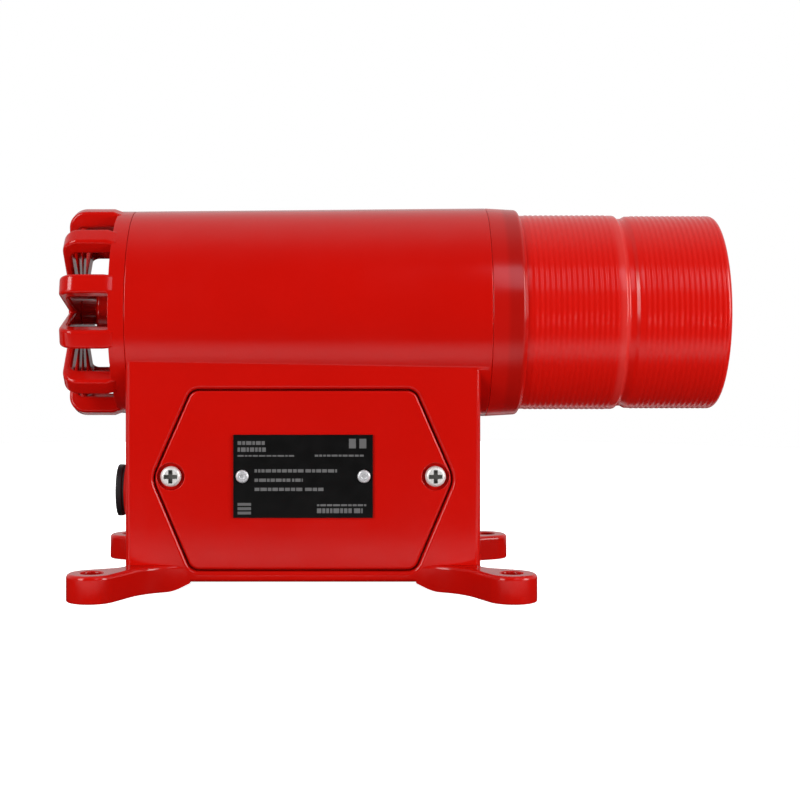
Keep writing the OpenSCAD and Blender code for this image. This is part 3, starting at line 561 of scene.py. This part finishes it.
def peg(origin, direction, length, radius, low_flare=0.0, high_flare=0.0, steps=48):
    """Round cutter that widens at its ends, so that the hole it cuts has rounded rims."""
    start = [(0, 0), (0, radius)]
    if low_flare:
        start = [(-EXTRA, 0), (-EXTRA, radius + low_flare)] + [
            (low_flare * (1 - math.cos(t)), radius + low_flare - low_flare * math.sin(t)) for t in quarter()
        ]
    end = [(length, radius), (length, 0)]
    if high_flare:
        end = [
            (length - high_flare * (1 - math.cos(t)), radius + high_flare - high_flare * math.sin(t))
            for t in quarter()[::-1]
        ] + [(length + EXTRA, radius + high_flare), (length + EXTRA, 0)]
    return turned(start + end, origin, direction, steps)


def moved(shape, matrix):
    """The same shape after a transform."""
    bmesh.ops.transform(shape, matrix=matrix, verts=shape.verts)
    return shape


def about_axis(shape, degrees):
    """Turns a shape about the horn axis."""
    centre = Vector((0, 0, AXIS_Z))
    turn = Matrix.Rotation(math.radians(degrees), 4, "X")
    return moved(shape, Matrix.Translation(centre) @ turn @ Matrix.Translation(-centre))


def mirrored(shape, x, y):
    """Flips a shape where x or y is -1, and turns its faces outwards again."""
    moved(shape, Matrix.Diagonal((x, y, 1, 1)))
    bmesh.ops.recalc_face_normals(shape, faces=shape.faces)
    return shape


def loose_object(name, shape):
    """Object in the scene that takes over a shape."""
    mesh = bpy.data.meshes.new(name)
    shape.to_mesh(mesh)
    shape.free()
    obj = bpy.data.objects.new(name, mesh)
    bpy.context.scene.collection.objects.link(obj)
    return obj


def combined(base, steps):
    """base after a row of ("UNION" or "DIFFERENCE", shape) steps."""
    target = loose_object("base", base)
    tools = []
    for operation, shape in steps:
        tool = loose_object("tool", shape)
        modifier = target.modifiers.new("cut", "BOOLEAN")
        modifier.operation = operation
        modifier.solver = "EXACT"
        modifier.object = tool
        tools.append(tool)
    graph = bpy.context.evaluated_depsgraph_get()
    result = bmesh.new()
    result.from_mesh(target.evaluated_get(graph).to_mesh())
    for obj in [target, *tools]:
        mesh = obj.data
        bpy.data.objects.remove(obj)
        bpy.data.meshes.remove(mesh)
    bmesh.ops.remove_doubles(result, verts=result.verts, dist=DOUBLES_MM * MM)
    return result


def make_piece(name, shape, nodes=(), slot=None, body=None, sharp_angle=SHARP_ANGLE):
    """Finished piece that stands for CAD nodes and takes its slot and body from the first of them."""
    bmesh.ops.recalc_face_normals(shape, faces=shape.faces)
    for face in shape.faces:
        face.smooth = True
    for edge in shape.edges:
        edge.smooth = len(edge.link_faces) == 2 and edge.calc_face_angle(0) < math.radians(sharp_angle)
    piece = loose_object(name, shape)
    slot = slot or SLOT_OF[nodes[0]]
    piece.data.materials.append(FINISHES[slot])
    weighted = piece.modifiers.new("weighted normals", "WEIGHTED_NORMAL")
    weighted.keep_sharp = True
    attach(piece, body or BODY_OF[nodes[0]])
    if nodes:
        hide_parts(*nodes)
    return piece


# ---------- Housing and cover: sizes as in the frame, and radii of the cast edges ----------

TUBE_X = (-82, 87)
TUBE_R = (49, 50.5)
TUBE_CORNERS = [0, 0.7, 0.4, 0]
HORN_BORE_R = 43.5
BEACON_BORE_R = 45.5
BORE_RIM = 0.5
WEB_X = (26, 30)
BOX_X = (-82, 81.8)
BOX_Y = 43
BOX_BOTTOM = 4.4
BOX_CORNER_R = 2.5
BOX_RIM = 1.5
SPACE_X = (-70, 69.8)
SPACE_Y = (-34, 37)
SPACE_Z = (11, 80.5)
SPACE_CORNER_R = 3
SPACE_RIM = 2
FOOT_X, FOOT_Y = 93.5, 66
FOOT_T = 12.4
FOOT_RIMS = (0.6, 1.8)
FOOT_TIP_R = 11.4
FOOT_HOLE_R = 5
FOOT_HOLE_RIMS = (0.4, 0.9)
FOOT_LONG_ANGLE, FOOT_LONG_FILLET = 64, 28
FOOT_SHORT_ANGLE, FOOT_SHORT_FILLET = 24, 9
FOOT_ROOT = 8
FOOT_RAMP_X, FOOT_RAMP_RUN, FOOT_RAMP_SLOPE = 60, 24, 0.49
FOOT_RAMP_CURVE = 4
COVER_CORNERS = [(69, 52), (51.3, 92.5), (-51.3, 92.5), (-69, 52), (-51.3, 10.2), (51.3, 10.2)]
COVER_RADII = [10, 5, 5, 10, 5, 5]
COVER_Y = (-43, -38)
COVER_RIMS = (1.1, 0.4)
COVER_GAP = 0.8
RECESS_Y = -37
RECESS_RIM = 1.8
OPENING_INSET = 11
OPENING_RADII = [3, 5, 5, 3, 5, 5]
OPENING_X = 52
SCREW_X, SCREW_Z = 61, 53
SCREW_HOLE_R = 2.6
SCREW_HOLE_Y, SCREW_HOLE_LENGTH = -20, 30
SCREW_BOSS_R = 7
SCREW_BOSS_Y, SCREW_BOSS_LENGTH = -16, 20
SINK_R, SINK_DEPTH = 6.3, 2.2
SINK_RIM = 0.35
COVER_HOLE_LENGTH = 10
ENTRY_Z, ENTRY_R = 42.4, 10
ENTRY_RIM = 0.6
ENTRY_DEPTH = 20
ENTRY_BOSS_X = (-87, -82)
ENTRY_BOSS_R = (13, 19.5)
ENTRY_BOSS_CORNER_R = 1.0
ENTRY_BOSS_ROOT = 2


def foot_outline():
    """Plan of the foot in the +X +Y quarter: a round tip, and two edges that flow into the box."""
    tip = Vector((FOOT_X, FOOT_Y))
    long_n = Vector((math.sin(math.radians(FOOT_LONG_ANGLE)), -math.cos(math.radians(FOOT_LONG_ANGLE))))
    short_n = Vector((math.sin(math.radians(FOOT_SHORT_ANGLE)), -math.cos(math.radians(FOOT_SHORT_ANGLE))))
    long_y = BOX_Y + FOOT_LONG_FILLET
    long_x = (long_n.dot(tip) - FOOT_TIP_R - FOOT_LONG_FILLET - long_n.y * long_y) / long_n.x
    short_x = BOX_X[1] + FOOT_SHORT_FILLET
    short_y = (short_n.dot(tip) + FOOT_TIP_R + FOOT_SHORT_FILLET - short_n.x * short_x) / short_n.y
    root_x, root_y = BOX_X[1] - FOOT_ROOT, BOX_Y - FOOT_ROOT
    return (
        arc((long_x, long_y), FOOT_LONG_FILLET, -90, FOOT_LONG_ANGLE - 90, steps=16)
        + arc(tip, FOOT_TIP_R, FOOT_LONG_ANGLE + 90, FOOT_SHORT_ANGLE - 90, steps=28)
        + arc((short_x, short_y), FOOT_SHORT_FILLET, FOOT_SHORT_ANGLE + 90, 180, steps=10)
        + [(root_x, short_y), (root_x, root_y), (long_x, root_y)]
    )


def foot():
    """One foot, drilled, with its underside rising towards the middle of the unit."""
    high_end = FOOT_RAMP_X - FOOT_RAMP_RUN
    curve = [
        (
            FOOT_RAMP_X - FOOT_RAMP_CURVE + k,
            FOOT_RAMP_SLOPE * (FOOT_RAMP_CURVE - k / 2) ** 2 / FOOT_RAMP_CURVE,
        )
        for k in range(2 * FOOT_RAMP_CURVE + 1)
    ]
    side = [(high_end, -EXTRA), (high_end, (FOOT_RAMP_X - high_end) * FOOT_RAMP_SLOPE)] + curve
    side.append((FOOT_RAMP_X + FOOT_RAMP_CURVE + EXTRA, -EXTRA))
    ramp = slab(side, "Y", 0, 2 * FOOT_Y)
    hole = peg((FOOT_X, FOOT_Y, 0), UP, FOOT_T, FOOT_HOLE_R, *FOOT_HOLE_RIMS)
    blank = slab(foot_outline(), "Z", 0, FOOT_T, *FOOT_RIMS)
    return combined(blank, [("DIFFERENCE", ramp), ("DIFFERENCE", hole)])


def cover_outline(growth=0.0):
    """Six-sided outline of the cover, grown all round."""
    return grown(rounded_path(COVER_CORNERS, COVER_RADII, steps=8), growth)


def opening_outline():
    """Opening behind the cover: the cover's outline moved in, with its side points cut off."""
    inner = rounded_path(grown(COVER_CORNERS, -OPENING_INSET), OPENING_RADII)
    return [(max(-OPENING_X, min(OPENING_X, x)), z) for x, z in inner]


def make_housing():
    """One casting: the tube, the terminal box, four feet and the cable entry's boss."""
    tube_side = [(TUBE_X[0], 0), (TUBE_X[0], TUBE_R[0]), (TUBE_X[1], TUBE_R[1]), (TUBE_X[1], 0)]
    tube = turned(rounded_path(tube_side, TUBE_CORNERS, steps=6))
    box_corners = rectangle((BOX_X[0], -BOX_Y), (BOX_X[1], BOX_Y))
    box = slab(rounded_path(box_corners, [BOX_CORNER_R] * 4, steps=6), "Z", BOX_BOTTOM, AXIS_MM, BOX_RIM)
    space_corners = rectangle((SPACE_X[0], SPACE_Y[0]), (SPACE_X[1], SPACE_Y[1]))
    space_plan = rounded_path(space_corners, [SPACE_CORNER_R] * 4, steps=5)
    space = combined(slab(space_plan, "Z", *SPACE_Z, SPACE_RIM, SPACE_RIM), [
        ("DIFFERENCE", peg((x, SCREW_BOSS_Y, SCREW_Z), FORWARDS, SCREW_BOSS_LENGTH, SCREW_BOSS_R))
        for x in (-SCREW_X, SCREW_X)
    ])
    recess = loft(cover_outline(COVER_GAP), "Y", [(RECESS_RIM, COVER_Y[0] - EXTRA)] + [
        (RECESS_RIM * (1 - math.sin(t)), COVER_Y[0] + RECESS_RIM * (1 - math.cos(t))) for t in quarter()
    ] + [(0, RECESS_Y)])
    opening = slab(opening_outline(), "Y", RECESS_Y - EXTRA, SPACE_Y[0] + EXTRA)
    boss_root = ENTRY_BOSS_X[1] + ENTRY_BOSS_ROOT
    boss_side = [
        (ENTRY_BOSS_X[0], 0), (ENTRY_BOSS_X[0], ENTRY_BOSS_R[0]), (ENTRY_BOSS_X[1], ENTRY_BOSS_R[1]),
        (boss_root, ENTRY_BOSS_R[1]), (boss_root, 0),
    ]
    boss = turned(rounded_path(boss_side, [0, ENTRY_BOSS_CORNER_R, 0, 0, 0]), (0, 0, ENTRY_Z), steps=96)
    horn_bore = peg(
        (TUBE_X[0], 0, AXIS_MM), RIGHT, WEB_X[0] - TUBE_X[0], HORN_BORE_R, BORE_RIM, steps=144
    )
    beacon_bore = peg(
        (TUBE_X[1], 0, AXIS_MM), LEFT, TUBE_X[1] - WEB_X[1], BEACON_BORE_R, BORE_RIM, steps=144
    )
    entry = peg((ENTRY_BOSS_X[0], 0, ENTRY_Z), RIGHT, ENTRY_DEPTH, ENTRY_R, ENTRY_RIM)
    steps = [("UNION", box), ("UNION", boss)]
    steps += [("UNION", mirrored(foot(), x, y)) for x in (-1, 1) for y in (-1, 1)]
    steps += [("DIFFERENCE", cutter) for cutter in (horn_bore, beacon_bore, space, recess, opening, entry)]
    steps += [
        ("DIFFERENCE", peg((x, SCREW_HOLE_Y, SCREW_Z), FORWARDS, SCREW_HOLE_LENGTH, SCREW_HOLE_R))
        for x in (-SCREW_X, SCREW_X)
    ]
    make_piece("housing_casting", combined(tube, steps), ["housing"])


def make_cover():
    """Six-sided cover plate with rounded rims and sinks for its two screws."""
    plate = slab(cover_outline(), "Y", *COVER_Y, *COVER_RIMS)
    steps = []
    for x in (-SCREW_X, SCREW_X):
        place = (x, COVER_Y[0], SCREW_Z)
        steps.append(("DIFFERENCE", peg(place, BACKWARDS, SINK_DEPTH, SINK_R, SINK_RIM)))
        steps.append(("DIFFERENCE", peg(place, BACKWARDS, COVER_HOLE_LENGTH, SCREW_HOLE_R)))
    make_piece("cover_casting", combined(plate, steps), ["terminal_cover"])


# ---------- Horn grille ----------

GRILLE_X = (-112.5, -82)
BAR_COUNT = 12
BAR_W = 9
BAR_T = 4
BAR_DEPTH = 8
BAR_EDGE_R = 1.5
BAR_OUTER_R = 50.5
BAR_OUTER_BEND_R = 8
BAR_INNER_BEND_R = 3
BAR_OVERLAP = 2
RING_X = -89.3
RING_INNER_R = 42.5
RING_CORNERS = [0.6, 0.3, 0.05, 0.4]
HUB_R = 18
HUB_HOLE_R = 2.1
HUB_SINK_R, HUB_SINK_DEPTH = 4.1, 2
HUB_CORNERS = [0, 0, 0.3, 1.2, 0.8, 0]
GRILLE_SCREW_RING_R = 46.2
GRILLE_SCREW_ANGLES = (90, 210, 330)
GRILLE_SCREW_HOLE_R = 2.77
GRILLE_SCREW_HOLE_DEPTH = 3


def bar_side():
    """Side view of one bar as (along, radius) points, from the hub round the bend to the ring."""
    front, back = GRILLE_X[0], GRILLE_X[0] + BAR_T
    root = HUB_R - BAR_OVERLAP
    inner = BAR_OUTER_R - BAR_DEPTH
    ring_end = RING_X + BAR_OVERLAP
    outer_bend = arc(
        (BAR_OUTER_R - BAR_OUTER_BEND_R, front + BAR_OUTER_BEND_R), BAR_OUTER_BEND_R, -90, 0, steps=10
    )
    inner_bend = arc((inner - BAR_INNER_BEND_R, back + BAR_INNER_BEND_R), BAR_INNER_BEND_R, 0, -90, steps=6)
    return (
        [(front, root)]
        + [(along, radius) for radius, along in outer_bend]
        + [(RING_X - BAR_OVERLAP, BAR_OUTER_R), (ring_end, TUBE_R[0]), (ring_end, inner)]
        + [(along, radius) for radius, along in inner_bend]
        + [(back, root)]
    )


def make_grille():
    """Cage over the horn's mouth: a ring, twelve bent bars and a hub."""
    end = GRILLE_X[1]
    ring_side = [(RING_X, RING_INNER_R), (RING_X, TUBE_R[0]), (end, TUBE_R[0]), (end, RING_INNER_R)]
    ring = turned(rounded_path(ring_side, RING_CORNERS))
    front, back, sink = GRILLE_X[0], GRILLE_X[0] + BAR_T, GRILLE_X[0] + HUB_SINK_DEPTH
    hub_side = [
        (sink, HUB_HOLE_R), (sink, HUB_SINK_R), (front, HUB_SINK_R), (front, HUB_R), (back, HUB_R),
        (back, HUB_HOLE_R),
    ]
    steps = [("UNION", turned(rounded_path(hub_side, HUB_CORNERS), steps=96))]
    for index in range(BAR_COUNT):
        bar = slab(bar_side(), "Y", -BAR_W / 2, BAR_W / 2, BAR_EDGE_R, BAR_EDGE_R)
        moved(bar, Matrix.Translation((0, 0, AXIS_Z)))
        steps.append(("UNION", about_axis(bar, (index + 0.5) * 360 / BAR_COUNT)))
    for degrees in GRILLE_SCREW_ANGLES:
        y = GRILLE_SCREW_RING_R * math.cos(math.radians(degrees))
        z = AXIS_MM + GRILLE_SCREW_RING_R * math.sin(math.radians(degrees))
        hole = peg((RING_X - EXTRA, y, z), RIGHT, GRILLE_SCREW_HOLE_DEPTH + EXTRA, GRILLE_SCREW_HOLE_R)
        steps.append(("DIFFERENCE", hole))
    make_piece("grille_casting", combined(ring, steps), ["horn_grille"])


# ---------- Cover screws ----------

SEAT_Y = -40.8
HEAD_R, HEAD_H, HEAD_CROWN_R = 4.75, 3.2, 1.8
SHANK_R, SHANK_TIP = 2.5, 0.4
CROSS_W, CROSS_L, CROSS_FLOOR = 1.9, 6.2, 0.5
CROSS_MARGIN = 0.1


def make_screw(node, x):
    """Pan-head screw with a deep cross recess, whose faces take a darker finish as painted shade."""
    shank_end = SEAT_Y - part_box(node)[1].y / MM
    crown = [
        (HEAD_H - HEAD_CROWN_R * (1 - math.sin(t)), HEAD_R - HEAD_CROWN_R * (1 - math.cos(t)))
        for t in quarter()
    ]
    side = [
        (shank_end, 0), (shank_end, SHANK_R - SHANK_TIP), (shank_end + SHANK_TIP, SHANK_R),
        (0, SHANK_R), (0, HEAD_R), *crown, (HEAD_H, 0),
    ]
    head = turned(side, (x, SEAT_Y, SCREW_Z), FORWARDS, steps=64)
    steps = []
    for width, height in ((CROSS_L, CROSS_W), (CROSS_W, CROSS_L)):
        slot = rectangle((x - width / 2, SCREW_Z - height / 2), (x + width / 2, SCREW_Z + height / 2))
        steps.append(("DIFFERENCE", slab(slot, "Y", SEAT_Y - HEAD_H - EXTRA, SEAT_Y - CROSS_FLOOR)))
    piece = make_piece(node + "_turned", combined(head, steps), [node])
    piece.data.materials.append(CROSS_SHADE_FINISH)
    # faces inside the cross get the darker finish, a painted shade
    for face in piece.data.polygons:
        from_axis = math.hypot(face.center.x / MM - x, face.center.z / MM - SCREW_Z)
        depth = face.center.y / MM - (SEAT_Y - HEAD_H)
        in_cross_shade = from_axis < CROSS_L / 2 + CROSS_MARGIN and CROSS_MARGIN < depth < HEAD_H - CROSS_MARGIN
        face.material_index = int(in_cross_shade)


# ---------- Beacon lens ----------

LENS_X = (87.8, 197.3)
FLANGE_R, FLANGE_END_R = 50.5, 49.75
FLANGE_END_X = 102.4
FLANGE_FOOT = [(102.6, 47.9), (103.3, 47.0)]
SHOULDER_R = 1.8
LIP_INNER_R, LIP_REACH, LIP_CORNER_R = 50.0, 0.7, 0.4
RING_BANDS = ((105.5, 16, 47.2), (157.0, 15, 46.8))
RING_PITCH = 2.5
RING_DEPTH = 0.22
RING_STEPS = 10
BAND_START = 0.4
GROOVE_R = 45.5
GROOVE = [
    (146.2, 47.05), (148.2, 47.05), (148.9, 46.9), (149.4, 46.5), (149.9, 45.9), (150.5, 45.55),
    (151.2, GROOVE_R), (152.6, GROOVE_R), (153.2, 45.53), (153.5, 45.7), (154.7, 46.42), (155.0, 46.56),
    (156.4, 46.6),
]
LENS_EDGE_R = 2.6
LENS_END_STEP = 0.05
LENS_END_T = 3.5
LENS_INNER_R = 43.5
LENS_INNER_CORNER = [(0, 1.5), (0.5, 0.4), (1.5, 0)]
LENS_NECK_R = 46.5
LENS_NECK_X = (102.4, 104.0)
LENS_ANGLE = 50


def ring_band(start, count, radius):
    """Fine round-topped rings along a stretch of the lens."""
    return [
        (
            start + RING_PITCH * k / RING_STEPS,
            radius - RING_DEPTH * (0.5 + 0.5 * math.cos(math.tau * k / RING_STEPS)),
        )
        for k in range(count * RING_STEPS + 1)
    ]


def make_lens():
    """Red moulding, closed at its end, with a plain flange, two ringed bands and a groove between them."""
    first, second = RING_BANDS
    start, finish = LENS_X
    lip = start - LIP_REACH
    flange = [(start, LENS_NECK_R), (start, LIP_INNER_R), (lip, LIP_INNER_R)] + [
        (lip + LIP_CORNER_R * (1 - math.sin(t)), FLANGE_R - LIP_CORNER_R * (1 - math.cos(t)))
        for t in quarter()[::-1]
    ]
    shoulder = [
        (FLANGE_END_X - SHOULDER_R * (1 - math.sin(t)), FLANGE_END_R - SHOULDER_R * (1 - math.cos(t)))
        for t in quarter()
    ]
    slope = FLANGE_FOOT + [(first[0] - BAND_START, first[2] - RING_DEPTH)]
    end_r = second[2] - LENS_END_STEP
    end = [
        (finish - LENS_EDGE_R * (1 - math.sin(t)), end_r - LENS_EDGE_R * (1 - math.cos(t)))
        for t in quarter(steps=8)
    ]
    floor = finish - LENS_END_T
    corner = [(floor - from_floor, LENS_INNER_R - from_wall) for from_floor, from_wall in LENS_INNER_CORNER]
    neck = [(LENS_NECK_X[1], LENS_INNER_R), (LENS_NECK_X[0], LENS_NECK_R)]
    inner = [(finish, 0), (floor, 0)] + corner + neck
    profile = flange + shoulder + slope + ring_band(*first) + GROOVE + ring_band(*second) + end + inner
    make_piece("lens_moulding", turned(profile, steps=192), ["beacon_lens"], sharp_angle=LENS_ANGLE)


# ---------- Nameplate ----------

PLATE_Y = -43.8
PRINT_T = 0.06
# left, bottom, width and height, from the plate's lower left corner
PRINT_BARS = (
    (2.0, 33.6, 12.5, 1.7), (2.0, 30.4, 13.0, 2.0), (2.0, 28.2, 26.0, 0.7), (37.5, 28.2, 22.5, 0.9),
    (9.8, 20.9, 22.5, 1.5), (33.2, 20.9, 14.5, 1.5), (9.8, 16.6, 16.5, 1.5), (27.0, 16.6, 5.0, 1.5),
    (9.8, 12.4, 22.0, 1.5), (33.0, 12.4, 8.5, 1.5), (38.5, 5.4, 23.0, 0.9), (38.5, 2.2, 16.0, 2.2),
    (55.5, 2.2, 4.0, 2.2),
    (53.2, 32.0, 3.2, 4.4), (58.0, 32.0, 3.2, 4.4),
)
WHOLE_FROM_HEIGHT = 4
DASH_SEED = 7
DASH_LENGTHS = (1.0, 3.2)
DASH_LEAST = 0.4
DASH_GAP = 0.45
STACK_PLACE, STACK_BAR, STACK_PITCH, STACK_COUNT = (2.0, 1.6), (6.2, 1.3), 2.0, 3


def add_bar(shape, x, z, width, height):
    """Thin block on the nameplate, from its lower left corner."""
    corners = [
        Vector((x + dx, y, z + dz)) * MM
        for y in (PLATE_Y + PRINT_T, PLATE_Y - PRINT_T)
        for dx, dz in ((0, 0), (width, 0), (width, height), (0, height))
    ]
    verts = [shape.verts.new(corner) for corner in corners]
    for face in ((0, 1, 2, 3), (4, 7, 6, 5), (0, 4, 5, 1), (1, 5, 6, 2), (2, 6, 7, 3), (3, 7, 4, 0)):
        shape.faces.new([verts[k] for k in face])


def make_print():
    """Plain grey dashes in place of the nameplate's wording, two blank marks and a stack of three bars."""
    plate_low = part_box("nameplate")[0]
    left, bottom = plate_low.x / MM, plate_low.z / MM
    shape = bmesh.new()
    lengths = random.Random(DASH_SEED)
    for x, z, width, height in PRINT_BARS:
        place = 0.0
        while place < width:
            dash = width
            if height < WHOLE_FROM_HEIGHT:
                dash = min(lengths.uniform(*DASH_LENGTHS), width - place)
            if dash > DASH_LEAST:
                add_bar(shape, left + x + place, bottom + z, dash, height)
            place += dash + DASH_GAP
    for row in range(STACK_COUNT):
        add_bar(shape, left + STACK_PLACE[0], bottom + STACK_PLACE[1] + row * STACK_PITCH, *STACK_BAR)
    piece = make_piece("nameplate_print", shape, slot="rivet_alloy", body="terminal_cover")
    piece.data.materials[0] = PRINT_FINISH


# ---------- Carried-over CAD nodes ----------

REPLACED = {
    "housing", "horn_grille", "terminal_cover", "beacon_lens", "cover_screw_left", "cover_screw_right"
}
DOMED = {"diaphragm", "nameplate_rivets"}
EDGE_MM = {
    "stopping_plug": 0.6, "nameplate": 0.3, "nameplate_rivets": 0.3, "horn_deflector": 0.5,
    "horn_flare": 0.3,
}
OTHER_EDGE_MM = 0.2
WELD_MM = 0.001
FLAT_ANGLE = 1


def dress_cad_nodes():
    """Every carried-over CAD node gets its finish, and softened edges."""
    for name, node in frame["nodes"].items():
        node.data.materials.clear()
        node.data.materials.append(FINISHES[SLOT_OF[name]])
        if name in REPLACED:
            continue
        weld = node.modifiers.new("weld", "WELD")
        weld.merge_threshold = WELD_MM * MM
        flatten = node.modifiers.new("flatten", "DECIMATE")
        flatten.decimate_type = "DISSOLVE"
        flatten.angle_limit = math.radians(FLAT_ANGLE)
        soften = node.modifiers.new("soften", "BEVEL")
        soften.width = EDGE_MM.get(name, OTHER_EDGE_MM) * MM
        soften.segments = 2
        soften.limit_method = "ANGLE"
        soften.angle_limit = math.radians(SHARP_ANGLE)
        if name in DOMED:
            # bevels that run out on a dome leave faces without area, and this closes them
            close = node.modifiers.new("close", "WELD")
            close.merge_threshold = WELD_MM * MM
        weighted = node.modifiers.new("weighted normals", "WEIGHTED_NORMAL")
        weighted.keep_sharp = False


make_housing()
make_grille()
make_cover()
make_screw("cover_screw_left", -SCREW_X)
make_screw("cover_screw_right", SCREW_X)
make_lens()
make_print()
dress_cad_nodes()
make_camera()
make_world()
make_floor()
make_lights()
bpy.context.scene.view_settings.view_transform = "Standard"
